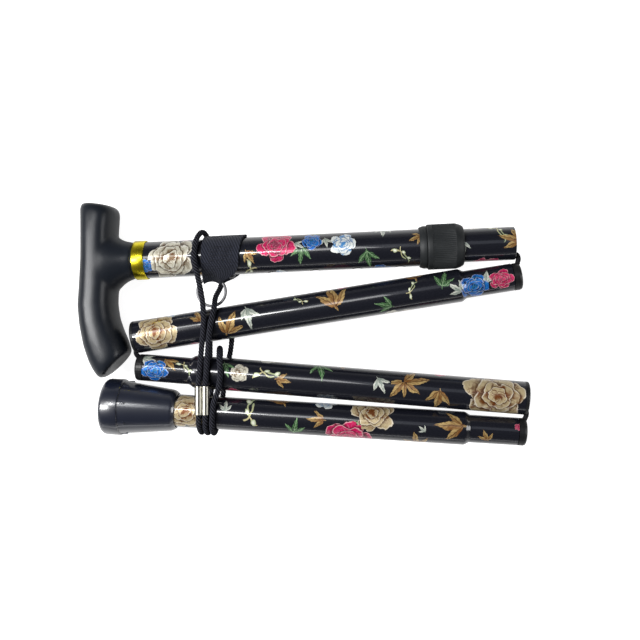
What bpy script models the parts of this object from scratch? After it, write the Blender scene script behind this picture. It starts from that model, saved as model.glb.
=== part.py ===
"""A folding walking cane in four tube sections, folded flat and held by its wrist cord.

Metres, +Z up. The cane lies on its side: the axes of its four sections share one level
plane, and the origin is on the floor under the middle of the folded cane.
"""
import math
from typing import NamedTuple

import bmesh
import bpy
import numpy as np
from mathutils import Matrix, Vector

MM = 0.001
GAP = 0.3 * MM  # running clearance between neighbouring pieces
SIDES = 32  # sides of a turned piece
SMALL_SIDES = 16  # sides of a small turned piece

# Tubes, from the inside out
SPIGOT_OD = 16.2 * MM
SPIGOT_LENGTH = 27.5 * MM
SHOULDER_LENGTH = 4.0 * MM
BUSH_WALL = 0.45 * MM
BUSH_LENGTH = 34.0 * MM
BUSH_LIP = 2.0 * MM
TUBE_WALL = 0.65 * MM
UPPER_TUBE_WALL = 0.9 * MM
BUSH_BORE = SPIGOT_OD + 2 * GAP
BUSH_OD = BUSH_BORE + 2 * BUSH_WALL
TUBE_BORE = BUSH_OD + 2 * GAP
TUBE_OD = TUBE_BORE + 2 * TUBE_WALL
UPPER_BORE = TUBE_OD + 2 * GAP
UPPER_OD = UPPER_BORE + 2 * UPPER_TUBE_WALL

# The first section, measured from the left end of the neck ring
SHAFT_X, SHAFT_Y = -100.19 * MM, 37.17 * MM
SHAFT_TURN = 2.3  # degrees
SHAFT_LENGTH = 226.8 * MM
UPPER_TUBE_START = 3.0 * MM
LOWER_TUBE_START = 43.0 * MM
HOLE_PITCH = 25.4 * MM
HOLE_COUNT = 5
FIRST_HOLE = 58.1 * MM

# The other sections are longer than the first by these lengths
SECTION_2_EXTRA = 7.7 * MM
SECTION_3_EXTRA = 7.2 * MM
SECTION_4_EXTRA = 25.4 * MM

# Neck ring and handle
RING_LENGTH = 7.2 * MM
RING_WALL = 0.5 * MM
RING_LIP = 2.4 * MM
HANDLE_HALF_DEPTH = 15.5 * MM
NECK_RADIUS = 11.2 * MM
PEG_LENGTH = 28.0 * MM
SCREW_ALONG = 15.0 * MM
SCREW_HEAD = 5.0 * MM
SCREW_SHANK = 3.0 * MM
SCREW_DEPTH = 8.0 * MM
SCREW_DOME = 1.1 * MM

# Lock collar at the lower end of the upper tube
COLLAR_FROM_MOUTH = 55.6 * MM
SLEEVE_START = SHAFT_LENGTH - COLLAR_FROM_MOUTH
SLEEVE_FLANGE = 4.3 * MM
SLEEVE_THREAD = 8.8 * MM
SLEEVE_WALL = 0.7 * MM
SLEEVE_RIM = 0.6 * MM  # how far the flange stands out over the thread
COLLET_LENGTH = 5.7 * MM
COLLET_WALL = 1.0 * MM
COLLET_SLOT = 1.2 * MM
NUT_LENGTH = 21.2 * MM
NUT_OD = 26.8 * MM
NUT_LIP = 6.5 * MM
NUT_CHAMFER = 4.4 * MM
NUT_FACE_DROP = 2.2 * MM  # from the nut's outside in to its end face
NUT_REST_GAP = 0.35 * MM  # between the nut and the second section folded against it

# Snap button and its spring
BUTTON_OD = 6.0 * MM
BUTTON_RISE = 2.3 * MM
FLANGE_OD = 8.0 * MM
FLANGE_THICKNESS = 1.0 * MM
SPRING_THICKNESS = 0.6 * MM
SPRING_WIDTH = 7.0 * MM
SPRING_LENGTH = 40.0 * MM
SPRING_PAST_BUTTON = 5.0 * MM

# Shock cord, its plugs, anchors and knots
CORD_D = 3.0 * MM
CORD_CLEARANCE = 0.4 * MM
PLUG_FLANGE = 4.5 * MM
PLUG_STEM = 8.0 * MM
PLUG_SLOT_DEPTH = 8.5 * MM
ANCHOR_LENGTH = 8.0 * MM
KNOT_LENGTH = 5.4 * MM
KNOT_OD = 8.4 * MM
KNOT_PAST_SPRING = 5.9 * MM
SPRING_END = FIRST_HOLE - SPRING_PAST_BUTTON + SPRING_LENGTH
TOP_ANCHOR_ALONG = SPRING_END + KNOT_PAST_SPRING + KNOT_LENGTH + 2 * GAP
LOOP_INSIDE = 24.0 * MM  # how far a loop reaches back into the mouth that it leaves
LOOP_AHEAD = 12.0 * MM  # and into the plug that it enters

# Rubber tip
TIP_LENGTH = 46.3 * MM
TIP_BASE_RADIUS = 17.0 * MM
TIP_BASE_LENGTH = 14.2 * MM
TIP_STEP = 1.3 * MM
TIP_NECK_RADIUS = 12.2 * MM
TIP_SOLE = 10.0 * MM
RIB_COUNT = 8
RIB_WIDTH = 1.3 * MM
RIB_LENGTH = 4.5 * MM
RIB_HEIGHT = 0.6 * MM
WASHER_THICKNESS = 1.4 * MM
TIP_TUBE_SEAT = 12.0 * MM
GROOVE_EDGES = (0.72, 0.46)  # shares of the base radius
GROOVE_WIDTH = 2.2 * MM
GROOVE_DEPTH = 1.2 * MM
GROOVE_SLOPE = 0.5 * MM

# Webbing band, split ring, wrist cord and its ferrule
BAND_THICKNESS = 1.4 * MM
BAND_AT_FAR_SIDE = (43.3 * MM, 63.8 * MM)  # the band's two edges along the shaft
BAND_AT_CREST = (42.6 * MM, 61.5 * MM)
BAND_FOLD_HALF = 4.6 * MM
SPLIT_RING_ALONG = 45.8 * MM
SPLIT_RING_WIRE = 1.8 * MM
SPLIT_RING_ROOM = 0.67 * MM  # left between the ring and the second section
WRIST_CORD_D = 3.2 * MM
FERRULE_BARREL_OD = 4.6 * MM
FERRULE_BORE = 3.8 * MM
FERRULE_PITCH = 4.1 * MM
FERRULE_LENGTH = 17.0 * MM

AXIS_HEIGHT = TIP_BASE_RADIUS
UP = Vector((0.0, 0.0, 1.0))


class Section(NamedTuple):
    """One tube section: the middle of its upper end, its direction and its length."""

    start: Vector
    turn: float
    length: float

    def way(self) -> Vector:
        return Vector((math.cos(self.turn), math.sin(self.turn), 0.0))

    def left(self) -> Vector:
        return Vector((-math.sin(self.turn), math.cos(self.turn), 0.0))

    def at(self, along: float, aside: float = 0.0, up: float = 0.0) -> Vector:
        return self.start + along * self.way() + aside * self.left() + up * UP


class Fold(NamedTuple):
    """A shock-cord hinge: its axis past the mouth, beside the tubes and before the plug."""

    past_mouth: float
    beside_wall: float
    before_plug: float
    lean: float  # angle left between the folded sections, radians
    side: int  # +1 where the next section folds to the left


def nut_lean(past_mouth: float, beside_wall: float) -> float:
    """The angle at which the second section rests against the lock nut."""
    corner = SLEEVE_START + SLEEVE_FLANGE + GAP + NUT_LENGTH - NUT_CHAMFER
    back = SHAFT_LENGTH + past_mouth - corner
    out = NUT_OD / 2 - (TUBE_OD / 2 + beside_wall)
    return math.atan2(out, back) + math.asin((NUT_REST_GAP - beside_wall) / math.hypot(back, out))


FOLD_1_PAST, FOLD_1_BESIDE = 3.0 * MM, -0.21 * MM
FOLDS = (
    Fold(FOLD_1_PAST, FOLD_1_BESIDE, 1.13 * MM, nut_lean(FOLD_1_PAST, FOLD_1_BESIDE), -1),
    Fold(1.0 * MM, -1.0 * MM, 2.6 * MM, math.radians(13.3), 1),
    Fold(0.5 * MM, 0.09 * MM, 0.39 * MM, math.radians(1.25), -1),
)


def split_ring_radius() -> float:
    """The radius at which the split ring fits between the upper tube and the second section."""
    fold = FOLDS[0]
    back = SHAFT_LENGTH + fold.past_mouth - SPLIT_RING_ALONG
    wall = TUBE_OD / 2 + 2 * fold.beside_wall + back * math.tan(fold.lean)
    return (wall - SPLIT_RING_ROOM - SPLIT_RING_WIRE - UPPER_OD / 2 - GAP) / 2


def pivot_of(section: Section, fold: Fold) -> Vector:
    """The hinge axis past a section's mouth."""
    aside = fold.side * (TUBE_OD / 2 + fold.beside_wall)
    return section.at(section.length + fold.past_mouth, aside)


def next_section(section: Section, fold: Fold, length: float) -> Section:
    """The section that folds back beside this one."""
    turn = section.turn + fold.side * (math.pi - fold.lean)
    bare = Section(Vector((0.0, 0.0, 0.0)), turn, length)
    aside = fold.side * (TUBE_OD / 2 + fold.beside_wall)
    start = pivot_of(section, fold) + bare.at(fold.before_plug, -aside)
    return Section(start, turn, length)


def lay_out() -> list:
    """The four sections of the folded cane."""
    start = Vector((SHAFT_X, SHAFT_Y, AXIS_HEIGHT))
    sections = [Section(start, math.radians(SHAFT_TURN), SHAFT_LENGTH)]
    for fold, extra in zip(FOLDS, (SECTION_2_EXTRA, SECTION_3_EXTRA, SECTION_4_EXTRA)):
        sections.append(next_section(sections[-1], fold, SHAFT_LENGTH + extra))
    return sections


class Finish(NamedTuple):
    """A plain finish for one kind of piece."""

    colour: tuple
    roughness: float
    metallic: float = 0.0


FINISHES = {
    "handle_plastic": Finish((0.018, 0.021, 0.028), 0.45),
    "gold_anodised": Finish((0.83, 0.60, 0.03), 0.22, 1.0),
    "printed_tube": Finish((0.012, 0.013, 0.016), 0.12),
    "lock_plastic": Finish((0.016, 0.018, 0.020), 0.55),
    "bush_plastic": Finish((0.020, 0.021, 0.024), 0.40),
    "tip_rubber": Finish((0.022, 0.024, 0.028), 0.60),
    "bright_steel": Finish((0.62, 0.62, 0.64), 0.25, 1.0),
    "webbing": Finish((0.012, 0.013, 0.018), 0.85),
    "braided_cord": Finish((0.010, 0.010, 0.012), 0.80),
    "elastic_cord": Finish((0.020, 0.020, 0.024), 0.75),
}


class Bench:
    """Holds the part's collections, materials and joint empties while it is built."""

    def __init__(self) -> None:
        for item in list(bpy.data.objects):
            bpy.data.objects.remove(item, do_unlink=True)
        self.pieces = bpy.data.collections.new("folding_cane")
        self.cutters = bpy.data.collections.new("cutters")
        for group in (self.pieces, self.cutters):
            bpy.context.scene.collection.children.link(group)
        self.materials = {name: self.make_material(name, finish) for name, finish in FINISHES.items()}

    def make_material(self, name: str, finish: Finish) -> bpy.types.Material:
        material = bpy.data.materials.new(name)
        material.use_nodes = True
        shader = material.node_tree.nodes["Principled BSDF"]
        shader.inputs["Base Color"].default_value = (*finish.colour, 1.0)
        shader.inputs["Roughness"].default_value = finish.roughness
        shader.inputs["Metallic"].default_value = finish.metallic
        return material

    def axis(self, name: str, place: Vector, parent=None) -> bpy.types.Object:
        """An empty on a joint's axis, which carries what moves with the joint."""
        empty = bpy.data.objects.new(name, None)
        empty.empty_display_size = 10 * MM
        self.pieces.objects.link(empty)
        self.hang(empty, parent)
        empty.location = place
        bpy.context.view_layer.update()
        return empty

    def hang(self, item: bpy.types.Object, parent) -> None:
        """Parents an object, whose own location stays the one in the world."""
        if parent is not None:
            item.parent = parent
            item.matrix_parent_inverse = parent.matrix_world.inverted()

    def add(self, name: str, mesh: bpy.types.Mesh, finish: str, parent) -> bpy.types.Object:
        item = bpy.data.objects.new(name, mesh)
        mesh.materials.clear()
        mesh.materials.append(self.materials[finish])
        self.pieces.objects.link(item)
        self.hang(item, parent)
        return item

    def cut(self, item: bpy.types.Object, cutter: bpy.types.Object, union: bool = False) -> None:
        """Cuts an object with another, or joins the other to it."""
        cutter.hide_render = True
        cutter.display_type = "WIRE"
        for group in list(cutter.users_collection):
            group.objects.unlink(cutter)
        self.cutters.objects.link(cutter)
        boolean = item.modifiers.new("join" if union else "cut", "BOOLEAN")
        boolean.operation = "UNION" if union else "DIFFERENCE"
        boolean.object = cutter


def shade(mesh: bpy.types.Mesh) -> bpy.types.Mesh:
    mesh.shade_smooth()
    mesh.set_sharp_from_angle(angle=math.radians(35))
    return mesh


def lie_along(item: bpy.types.Object, section: Section) -> bpy.types.Object:
    """Lays an object's Z along a section and its Y to the section's left."""
    item.location = section.start
    item.rotation_euler = (0.0, math.pi / 2, section.turn)
    return item


def profile_mesh(name: str, outline: list, closed: bool) -> bpy.types.Mesh:
    """A turned piece's profile, as (radius, along) points from top to bottom outside."""
    mesh = bpy.data.meshes.new(name)
    count = len(outline)
    edges = [(index, index + 1) for index in range(count - 1)]
    if closed:
        edges.append((count - 1, 0))
    mesh.from_pydata([(radius, 0.0, along) for radius, along in outline], edges, [])
    return mesh


def screw(item: bpy.types.Object, sides: int) -> bpy.types.Object:
    turning = item.modifiers.new("turn", "SCREW")
    turning.steps = sides
    turning.render_steps = sides
    turning.use_merge_vertices = True
    turning.merge_threshold = 0.01 * MM
    turning.use_smooth_shade = True
    return item


def turned(bench, name, section, outside, inside, finish, parent, sides=SIDES):
    """A round piece about a section's axis.

    outside and inside are (radius, along) points that run towards the section's mouth.
    A solid piece has no inside, and its outside starts and ends on the axis.
    """
    outline = list(reversed(outside)) + list(inside)
    mesh = profile_mesh(name, outline, closed=bool(inside))
    item = lie_along(bench.add(name, mesh, finish, parent), section)
    return screw(item, sides)


def cylinder(bench, name, radius, depth, centre, direction, sides=SMALL_SIDES):
    """A plain cylinder about any direction, for a hole or a pin."""
    mesh = bpy.data.meshes.new(name)
    shape = bmesh.new()
    bmesh.ops.create_cone(shape, cap_ends=True, segments=sides, radius1=radius, radius2=radius, depth=depth)
    shape.to_mesh(mesh)
    shape.free()
    item = bpy.data.objects.new(name, mesh)
    bench.cutters.objects.link(item)
    item.matrix_world = Matrix.Translation(centre) @ direction.to_track_quat("Z", "Y").to_matrix().to_4x4()
    return item


def box(bench, name, section, along, aside, up):
    """A box in a section's frame, given by its two limits each way."""
    mesh = bpy.data.meshes.new(name)
    shape = bmesh.new()
    bmesh.ops.create_cube(shape, size=1.0)
    size = [high - low for low, high in (up, aside, along)]
    middle = [(high + low) / 2 for low, high in (up, aside, along)]
    bmesh.ops.scale(shape, vec=size, verts=shape.verts)
    bmesh.ops.translate(shape, vec=(-middle[0], middle[1], middle[2]), verts=shape.verts)
    shape.to_mesh(mesh)
    shape.free()
    item = bpy.data.objects.new(name, mesh)
    bench.cutters.objects.link(item)
    return lie_along(item, section)


def smooth_points(route: list, count: int) -> list:
    """Evenly spaced points on one smooth curve through a route's points."""
    knots = [2 * route[0] - route[1], *route, 2 * route[-1] - route[-2]]
    fine = []
    for before, here, there, after in zip(knots, knots[1:], knots[2:], knots[3:]):
        for step in range(12):
            share = step / 12
            straight = 2 * here
            slope = (there - before) * share
            bend = (2 * before - 5 * here + 4 * there - after) * share**2
            twist = (3 * here - before - 3 * there + after) * share**3
            fine.append((straight + slope + bend + twist) / 2)
    fine.append(route[-1].copy())
    table = np.array([tuple(point) for point in fine])
    travelled = np.concatenate([[0.0], np.cumsum(np.linalg.norm(np.diff(table, axis=0), axis=1))])
    stops = np.linspace(0.0, travelled[-1], count)
    columns = [np.interp(stops, travelled, table[:, axis]) for axis in range(3)]
    return [Vector(point) for point in zip(*columns)]


def cord(bench, name, route, diameter, count, finish, parent):
    """A round cord along a route."""
    curve = bpy.data.curves.new(name, "CURVE")
    curve.dimensions = "3D"
    curve.bevel_depth = diameter / 2
    curve.bevel_resolution = 2
    curve.use_fill_caps = True
    spline = curve.splines.new("POLY")
    points = smooth_points(route, count)
    spline.points.add(len(points) - 1)
    for target, point in zip(spline.points, points):
        target.co = (*point, 1.0)
    item = bpy.data.objects.new(name, curve)
    curve.materials.append(bench.materials[finish])
    bench.pieces.objects.link(item)
    bench.hang(item, parent)
    return item


def loft_mesh(name: str, rings: list) -> bpy.types.Mesh:
    """A closed skin over rings of points, with flat ends."""
    mesh = bpy.data.meshes.new(name)
    shape = bmesh.new()
    rows = [[shape.verts.new(point) for point in ring] for ring in rings]
    for lower, upper in zip(rows, rows[1:]):
        for here in range(len(lower)):
            there = (here + 1) % len(lower)
            shape.faces.new((lower[here], lower[there], upper[there], upper[here]))
    shape.faces.new(list(reversed(rows[0])))
    shape.faces.new(rows[-1])
    bmesh.ops.recalc_face_normals(shape, faces=shape.faces)
    shape.to_mesh(mesh)
    shape.free()
    return mesh


class GripRing(NamedTuple):
    """One cross-section of the handle, in the first section's frame."""

    along: float
    aside: float
    half_width: float
    half_depth: float
    tilt: float  # degrees from the shaft's direction to the ring's width


GRIP_POINTS = 24
GRIP_ROUNDNESS = 2.3
HORN_END = -9.0  # degrees by which the horn's end face slopes
GRIP_RINGS = (
    GripRing(-21.2 * MM, 35.4 * MM, 8.2 * MM, 0.684 * HANDLE_HALF_DEPTH, HORN_END),
    GripRing(-21.0 * MM, 34.4 * MM, 10.2 * MM, 0.852 * HANDLE_HALF_DEPTH, HORN_END),
    GripRing(-20.9 * MM, 31.6 * MM, 11.2 * MM, 0.942 * HANDLE_HALF_DEPTH, HORN_END),
    GripRing(-21.0 * MM, 26.6 * MM, 10.7 * MM, 0.981 * HANDLE_HALF_DEPTH, -4.0),
    GripRing(-21.6 * MM, 18.0 * MM, 10.3 * MM, HANDLE_HALF_DEPTH, 0.0),
    GripRing(-22.3 * MM, 3.0 * MM, 10.2 * MM, HANDLE_HALF_DEPTH, 0.0),
    GripRing(-23.2 * MM, -13.8 * MM, 10.9 * MM, HANDLE_HALF_DEPTH, -3.0),
    GripRing(-24.6 * MM, -25.5 * MM, 11.4 * MM, HANDLE_HALF_DEPTH, 0.0),
    GripRing(-23.9 * MM, -36.0 * MM, 11.7 * MM, HANDLE_HALF_DEPTH, 8.0),
    GripRing(-21.6 * MM, -46.4 * MM, 12.6 * MM, 0.994 * HANDLE_HALF_DEPTH, 20.0),
    GripRing(-18.8 * MM, -54.0 * MM, 13.0 * MM, 0.981 * HANDLE_HALF_DEPTH, 31.0),
    GripRing(-16.8 * MM, -58.8 * MM, 12.9 * MM, 0.961 * HANDLE_HALF_DEPTH, 38.0),
    GripRing(-15.6 * MM, -61.3 * MM, 12.5 * MM, 0.916 * HANDLE_HALF_DEPTH, 42.0),
    GripRing(-14.8 * MM, -62.2 * MM, 11.4 * MM, 0.826 * HANDLE_HALF_DEPTH, 43.0),
)
NECK_RINGS = (
    GripRing(-19.0 * MM, -1.0 * MM, 23.0 * MM, 12.6 * MM, 90.0),
    GripRing(-14.4 * MM, -0.9 * MM, 19.6 * MM, 12.5 * MM, 90.0),
    GripRing(-11.4 * MM, -0.8 * MM, 16.6 * MM, 12.4 * MM, 90.0),
    GripRing(-8.6 * MM, -0.6 * MM, 14.0 * MM, 12.2 * MM, 90.0),
    GripRing(-5.4 * MM, -0.3 * MM, 12.1 * MM, 11.8 * MM, 90.0),
    GripRing(-2.4 * MM, 0.0, NECK_RADIUS + 0.2 * MM, NECK_RADIUS + 0.2 * MM, 90.0),
)


def grip_ring_points(shaft: Section, ring: GripRing, roundness: float) -> list:
    """Points round one cross-section of the handle."""
    centre = shaft.at(ring.along, ring.aside)
    tilt = shaft.turn + math.radians(ring.tilt)
    across = Vector((math.cos(tilt), math.sin(tilt), 0.0))
    points = []
    for index in range(GRIP_POINTS):
        angle = 2 * math.pi * index / GRIP_POINTS
        width_part = math.copysign(abs(math.cos(angle)) ** (2 / roundness), math.cos(angle))
        depth_part = math.copysign(abs(math.sin(angle)) ** (2 / roundness), math.sin(angle))
        points.append(centre + ring.half_width * width_part * across + ring.half_depth * depth_part * UP)
    return points


def make_handle(bench, shaft, parent):
    """The handle: its grip, its neck and the peg that the upper tube slides over."""
    peg = TUBE_OD / 2
    grip = [grip_ring_points(shaft, ring, GRIP_ROUNDNESS) for ring in GRIP_RINGS]
    neck = [grip_ring_points(shaft, ring, 2.0) for ring in NECK_RINGS]
    for along, radius in ((0.0, NECK_RADIUS), (0.0, peg), (PEG_LENGTH, peg)):
        neck.append(grip_ring_points(shaft, GripRing(along, 0.0, radius, radius, 90.0), 2.0))
    handle = bench.add("handle", shade(loft_mesh("handle", grip)), "handle_plastic", parent)
    neck_part = bpy.data.objects.new("handle_neck", loft_mesh("handle_neck", neck))
    bench.cutters.objects.link(neck_part)
    bench.cut(handle, neck_part, union=True)
    depth = 2 * (SCREW_DEPTH + UPPER_OD / 2 - peg)
    place = shaft.at(SCREW_ALONG, 0.0, -peg)
    bench.cut(handle, cylinder(bench, "screw_pilot", SCREW_SHANK / 2 + GAP, depth, place, UP))
    return handle


def make_handle_screw(bench, shaft, parent):
    """The domed screw at the back of the neck."""
    head, shank = SCREW_HEAD / 2, SCREW_SHANK / 2
    seat = UPPER_OD / 2 + GAP
    outline = [(0.0, seat + SCREW_DOME), (0.6 * head, seat + 0.8 * SCREW_DOME)]
    outline += [(head, seat + 0.3 * SCREW_DOME), (head, seat), (shank, seat)]
    outline += [(shank, seat - SCREW_DEPTH), (0.0, seat - SCREW_DEPTH - shank)]
    mesh = profile_mesh("handle_screw", outline, closed=False)
    item = screw(bench.add("handle_screw", mesh, "bright_steel", parent), SMALL_SIDES)
    item.location = shaft.at(SCREW_ALONG)
    item.rotation_euler = (math.pi, 0.0, 0.0)
    return item


def make_neck_ring(bench, shaft, parent):
    """The gold ring, whose lip closes the joint between the neck and the tube."""
    lip, bore = TUBE_OD / 2 + GAP, UPPER_OD / 2 + GAP
    outer = bore + RING_WALL
    step, end = GAP + RING_LIP, GAP + RING_LENGTH
    chamfer = 0.4 * MM
    outside = [(outer - chamfer, GAP), (outer, GAP + chamfer)]
    outside += [(outer, end - chamfer), (outer - chamfer, end)]
    inside = [(lip, GAP), (lip, step), (bore, step), (bore, end)]
    return turned(bench, "neck_ring", shaft, outside, inside, "gold_anodised", parent)


def make_upper_tube(bench, shaft, parent):
    """The upper tube, with its row of height holes and the screw's hole."""
    end = SLEEVE_START + SLEEVE_FLANGE + SLEEVE_THREAD - GAP
    outer, bore = UPPER_OD / 2, UPPER_BORE / 2
    walls = [[(radius, UPPER_TUBE_START), (radius, end)] for radius in (outer, bore)]
    tube = turned(bench, "upper_tube", shaft, *walls, "printed_tube", parent)
    for index in range(HOLE_COUNT):
        name, place = f"height_hole_{index + 1}", shaft.at(FIRST_HOLE + index * HOLE_PITCH, -outer)
        bench.cut(tube, cylinder(bench, name, BUTTON_OD / 2 + GAP, outer, place, shaft.left()))
    place = shaft.at(SCREW_ALONG, 0.0, -outer)
    bench.cut(tube, cylinder(bench, "screw_hole", SCREW_SHANK / 2 + GAP, outer, place, UP))
    return tube


def make_lock_collar(bench, shaft, root, nut_axis):
    """The threaded sleeve with its collet fingers, and the knurled nut over it."""
    bore = UPPER_OD / 2 + GAP
    thread = bore + SLEEVE_WALL
    flange = thread + SLEEVE_RIM
    flange_end = SLEEVE_START + SLEEVE_FLANGE
    thread_end = flange_end + SLEEVE_THREAD
    collet_end = thread_end + COLLET_LENGTH
    finger = TUBE_OD / 2 + GAP
    outside = [(bore + SLEEVE_WALL / 2, SLEEVE_START), (flange, SLEEVE_START + 0.5 * SLEEVE_FLANGE)]
    outside += [(flange, flange_end), (thread, flange_end), (thread, thread_end)]
    outside.append((finger + COLLET_WALL, collet_end))
    inside = [(bore, SLEEVE_START), (bore, thread_end), (finger, thread_end), (finger, collet_end)]
    sleeve = turned(bench, "lock_sleeve", shaft, outside, inside, "lock_plastic", root)
    across, narrow = thread + GAP, COLLET_SLOT / 2
    reach = (thread_end + COLLET_SLOT, collet_end + COLLET_SLOT)
    for name, aside, up in (("collet_slot_a", across, narrow), ("collet_slot_b", narrow, across)):
        bench.cut(sleeve, box(bench, name, shaft, reach, (-aside, aside), (-up, up)))
    nut_start = flange_end + GAP
    nut_end = nut_start + NUT_LENGTH
    lip = nut_end - NUT_LIP
    outer = NUT_OD / 2
    face = max(outer - NUT_FACE_DROP, finger + COLLET_WALL / 2)
    chamfer = 0.4 * MM
    outside = [(outer - chamfer, nut_start), (outer, nut_start + chamfer), (outer, nut_end - NUT_CHAMFER)]
    outside += [((outer + face) / 2 + 0.2 * MM, nut_end - 0.4 * NUT_CHAMFER), (face, nut_end)]
    inside = [(thread + GAP, nut_start), (thread + GAP, lip), (finger, lip), (finger, nut_end)]
    nut = turned(bench, "lock_nut", shaft, outside, inside, "lock_plastic", nut_axis)
    return sleeve, nut


def tube_outline(length: float, spigot: bool) -> tuple:
    """The outside and inside of a lower tube, with or without its swaged spigot."""
    outer, bore = TUBE_OD / 2, TUBE_BORE / 2
    if not spigot:
        return [(outer, LOWER_TUBE_START), (outer, length)], [(bore, LOWER_TUBE_START), (bore, length)]
    start = PLUG_FLANGE + GAP
    shoulder = start + SPIGOT_LENGTH
    full = shoulder + SHOULDER_LENGTH
    thin = SPIGOT_OD / 2
    outside = [(thin, start), (thin, shoulder), (outer, full), (outer, length)]
    inside = [(thin - TUBE_WALL, start), (thin - TUBE_WALL, shoulder), (bore, full), (bore, length)]
    return outside, inside


def make_bush(bench, number, section, fold, lipped, parent):
    """The plastic liner of a mouth. A lipped one has a gap in its lip for the shock cord."""
    bore, outer = BUSH_BORE / 2, BUSH_OD / 2
    end = section.length
    start = end - BUSH_LENGTH
    if not lipped:
        walls = [[(radius, start), (radius, end - 0.5 * MM)] for radius in (outer, bore)]
        return turned(bench, f"mouth_bush_{number}", section, *walls, "bush_plastic", parent)
    step = end - BUSH_LIP
    rim = TUBE_OD / 2
    soft = 0.8 * MM
    outside = [(outer, start), (outer, step), (rim, step), (rim, end - soft)]
    outside += [(rim - 0.3 * soft, end - 0.3 * soft), (rim - soft, end)]
    inside = [(bore, start), (bore, end)]
    bush = turned(bench, f"mouth_bush_{number}", section, outside, inside, "bush_plastic", parent)
    aside = sorted((fold.side * (bore - 2 * GAP), fold.side * (rim + GAP)))
    half = CORD_D / 2 + CORD_CLEARANCE
    gap = box(bench, f"lip_gap_{number}", section, (step, end + GAP), aside, (-half, half))
    bench.cut(bush, gap)
    return bush


def make_plug(bench, number, section, fold, parent):
    """The plug in a spigot's end, bored and slotted for the shock cord."""
    outer, stem = SPIGOT_OD / 2, SPIGOT_OD / 2 - TUBE_WALL - GAP
    bore = CORD_D / 2 + CORD_CLEARANCE
    soft = 1.5 * MM
    end = PLUG_FLANGE + PLUG_STEM
    outside = [(outer - soft, 0.0), (outer - 0.3 * soft, 0.3 * soft), (outer, soft), (outer, PLUG_FLANGE)]
    outside += [(stem, PLUG_FLANGE), (stem, end)]
    inside = [(bore, 0.0), (bore, end)]
    plug = turned(bench, f"cord_plug_{number}", section, outside, inside, "bush_plastic", parent)
    aside = sorted((0.0, fold.side * (outer + GAP)))
    reach = (-GAP, PLUG_SLOT_DEPTH)
    bench.cut(plug, box(bench, f"plug_slot_{number}", section, reach, aside, (-bore, bore)))
    return plug


def make_anchor(bench, name, section, start, parent):
    """A bored disc that holds the shock cord's knot inside a tube."""
    outer, bore = TUBE_BORE / 2 - GAP, CORD_D / 2 + CORD_CLEARANCE
    walls = [[(radius, start), (radius, start + ANCHOR_LENGTH)] for radius in (outer, bore)]
    return turned(bench, name, section, *walls, "bush_plastic", parent)


def make_knot(bench, name, section, start, parent):
    """The stopper knot at one end of the shock cord."""
    radius, neck = KNOT_OD / 2, CORD_D / 2
    half = ((0.0, 0.0), (neck, 0.0), (0.8 * radius, 0.1), (radius, 0.35))
    shape = half + tuple((across, 1.0 - share) for across, share in reversed(half))
    outside = [(across, start + share * KNOT_LENGTH) for across, share in shape]
    return turned(bench, name, section, outside, [], "elastic_cord", parent, sides=SMALL_SIDES)


def make_straight_cord(bench, number, section, start, end, parent):
    """The stretch of shock cord that lies straight inside one tube."""
    name = f"shock_cord_{number}"
    outside = [(0.0, start), (CORD_D / 2, start), (CORD_D / 2, end), (0.0, end)]
    return turned(bench, name, section, outside, [], "elastic_cord", parent, sides=8)


def make_cord_loop(bench, number, section, fold, following, lipped, parent):
    """The shock cord where it leaves a mouth and turns into the next section's plug."""
    end = section.length - (BUSH_LIP if lipped else 0.0)
    inner = BUSH_BORE / 2
    wall = TUBE_OD / 2
    radius = CORD_D / 2
    hug = radius + 1.4 * GAP
    side = fold.side
    outward = wall + 0.3 * hug
    here = [(section.length - share * LOOP_INSIDE, 0.0) for share in (1.0, 0.88, 0.76)]
    here += [(end - 8.0 * MM, 0.52 * (inner - hug)), (end - 2.6 * MM, inner - 1.45 * hug)]
    here += [(end + 0.7 * hug, inner - 0.78 * hug), (end + 1.08 * hug, (inner + wall) / 2)]
    here.append((end + hug, outward))
    there = [(0.22 * LOOP_AHEAD, 0.42 * SPIGOT_OD / 2), (0.42 * LOOP_AHEAD, 0.1 * SPIGOT_OD / 2)]
    there += [(0.8 * LOOP_AHEAD, 0.0), (LOOP_AHEAD, 0.0)]
    route = [section.at(along, side * aside) for along, aside in here]
    route += [following.at(along, side * aside) for along, aside in there]
    return cord(bench, f"shock_cord_loop_{number}", route, CORD_D, 24, "elastic_cord", parent)


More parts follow.
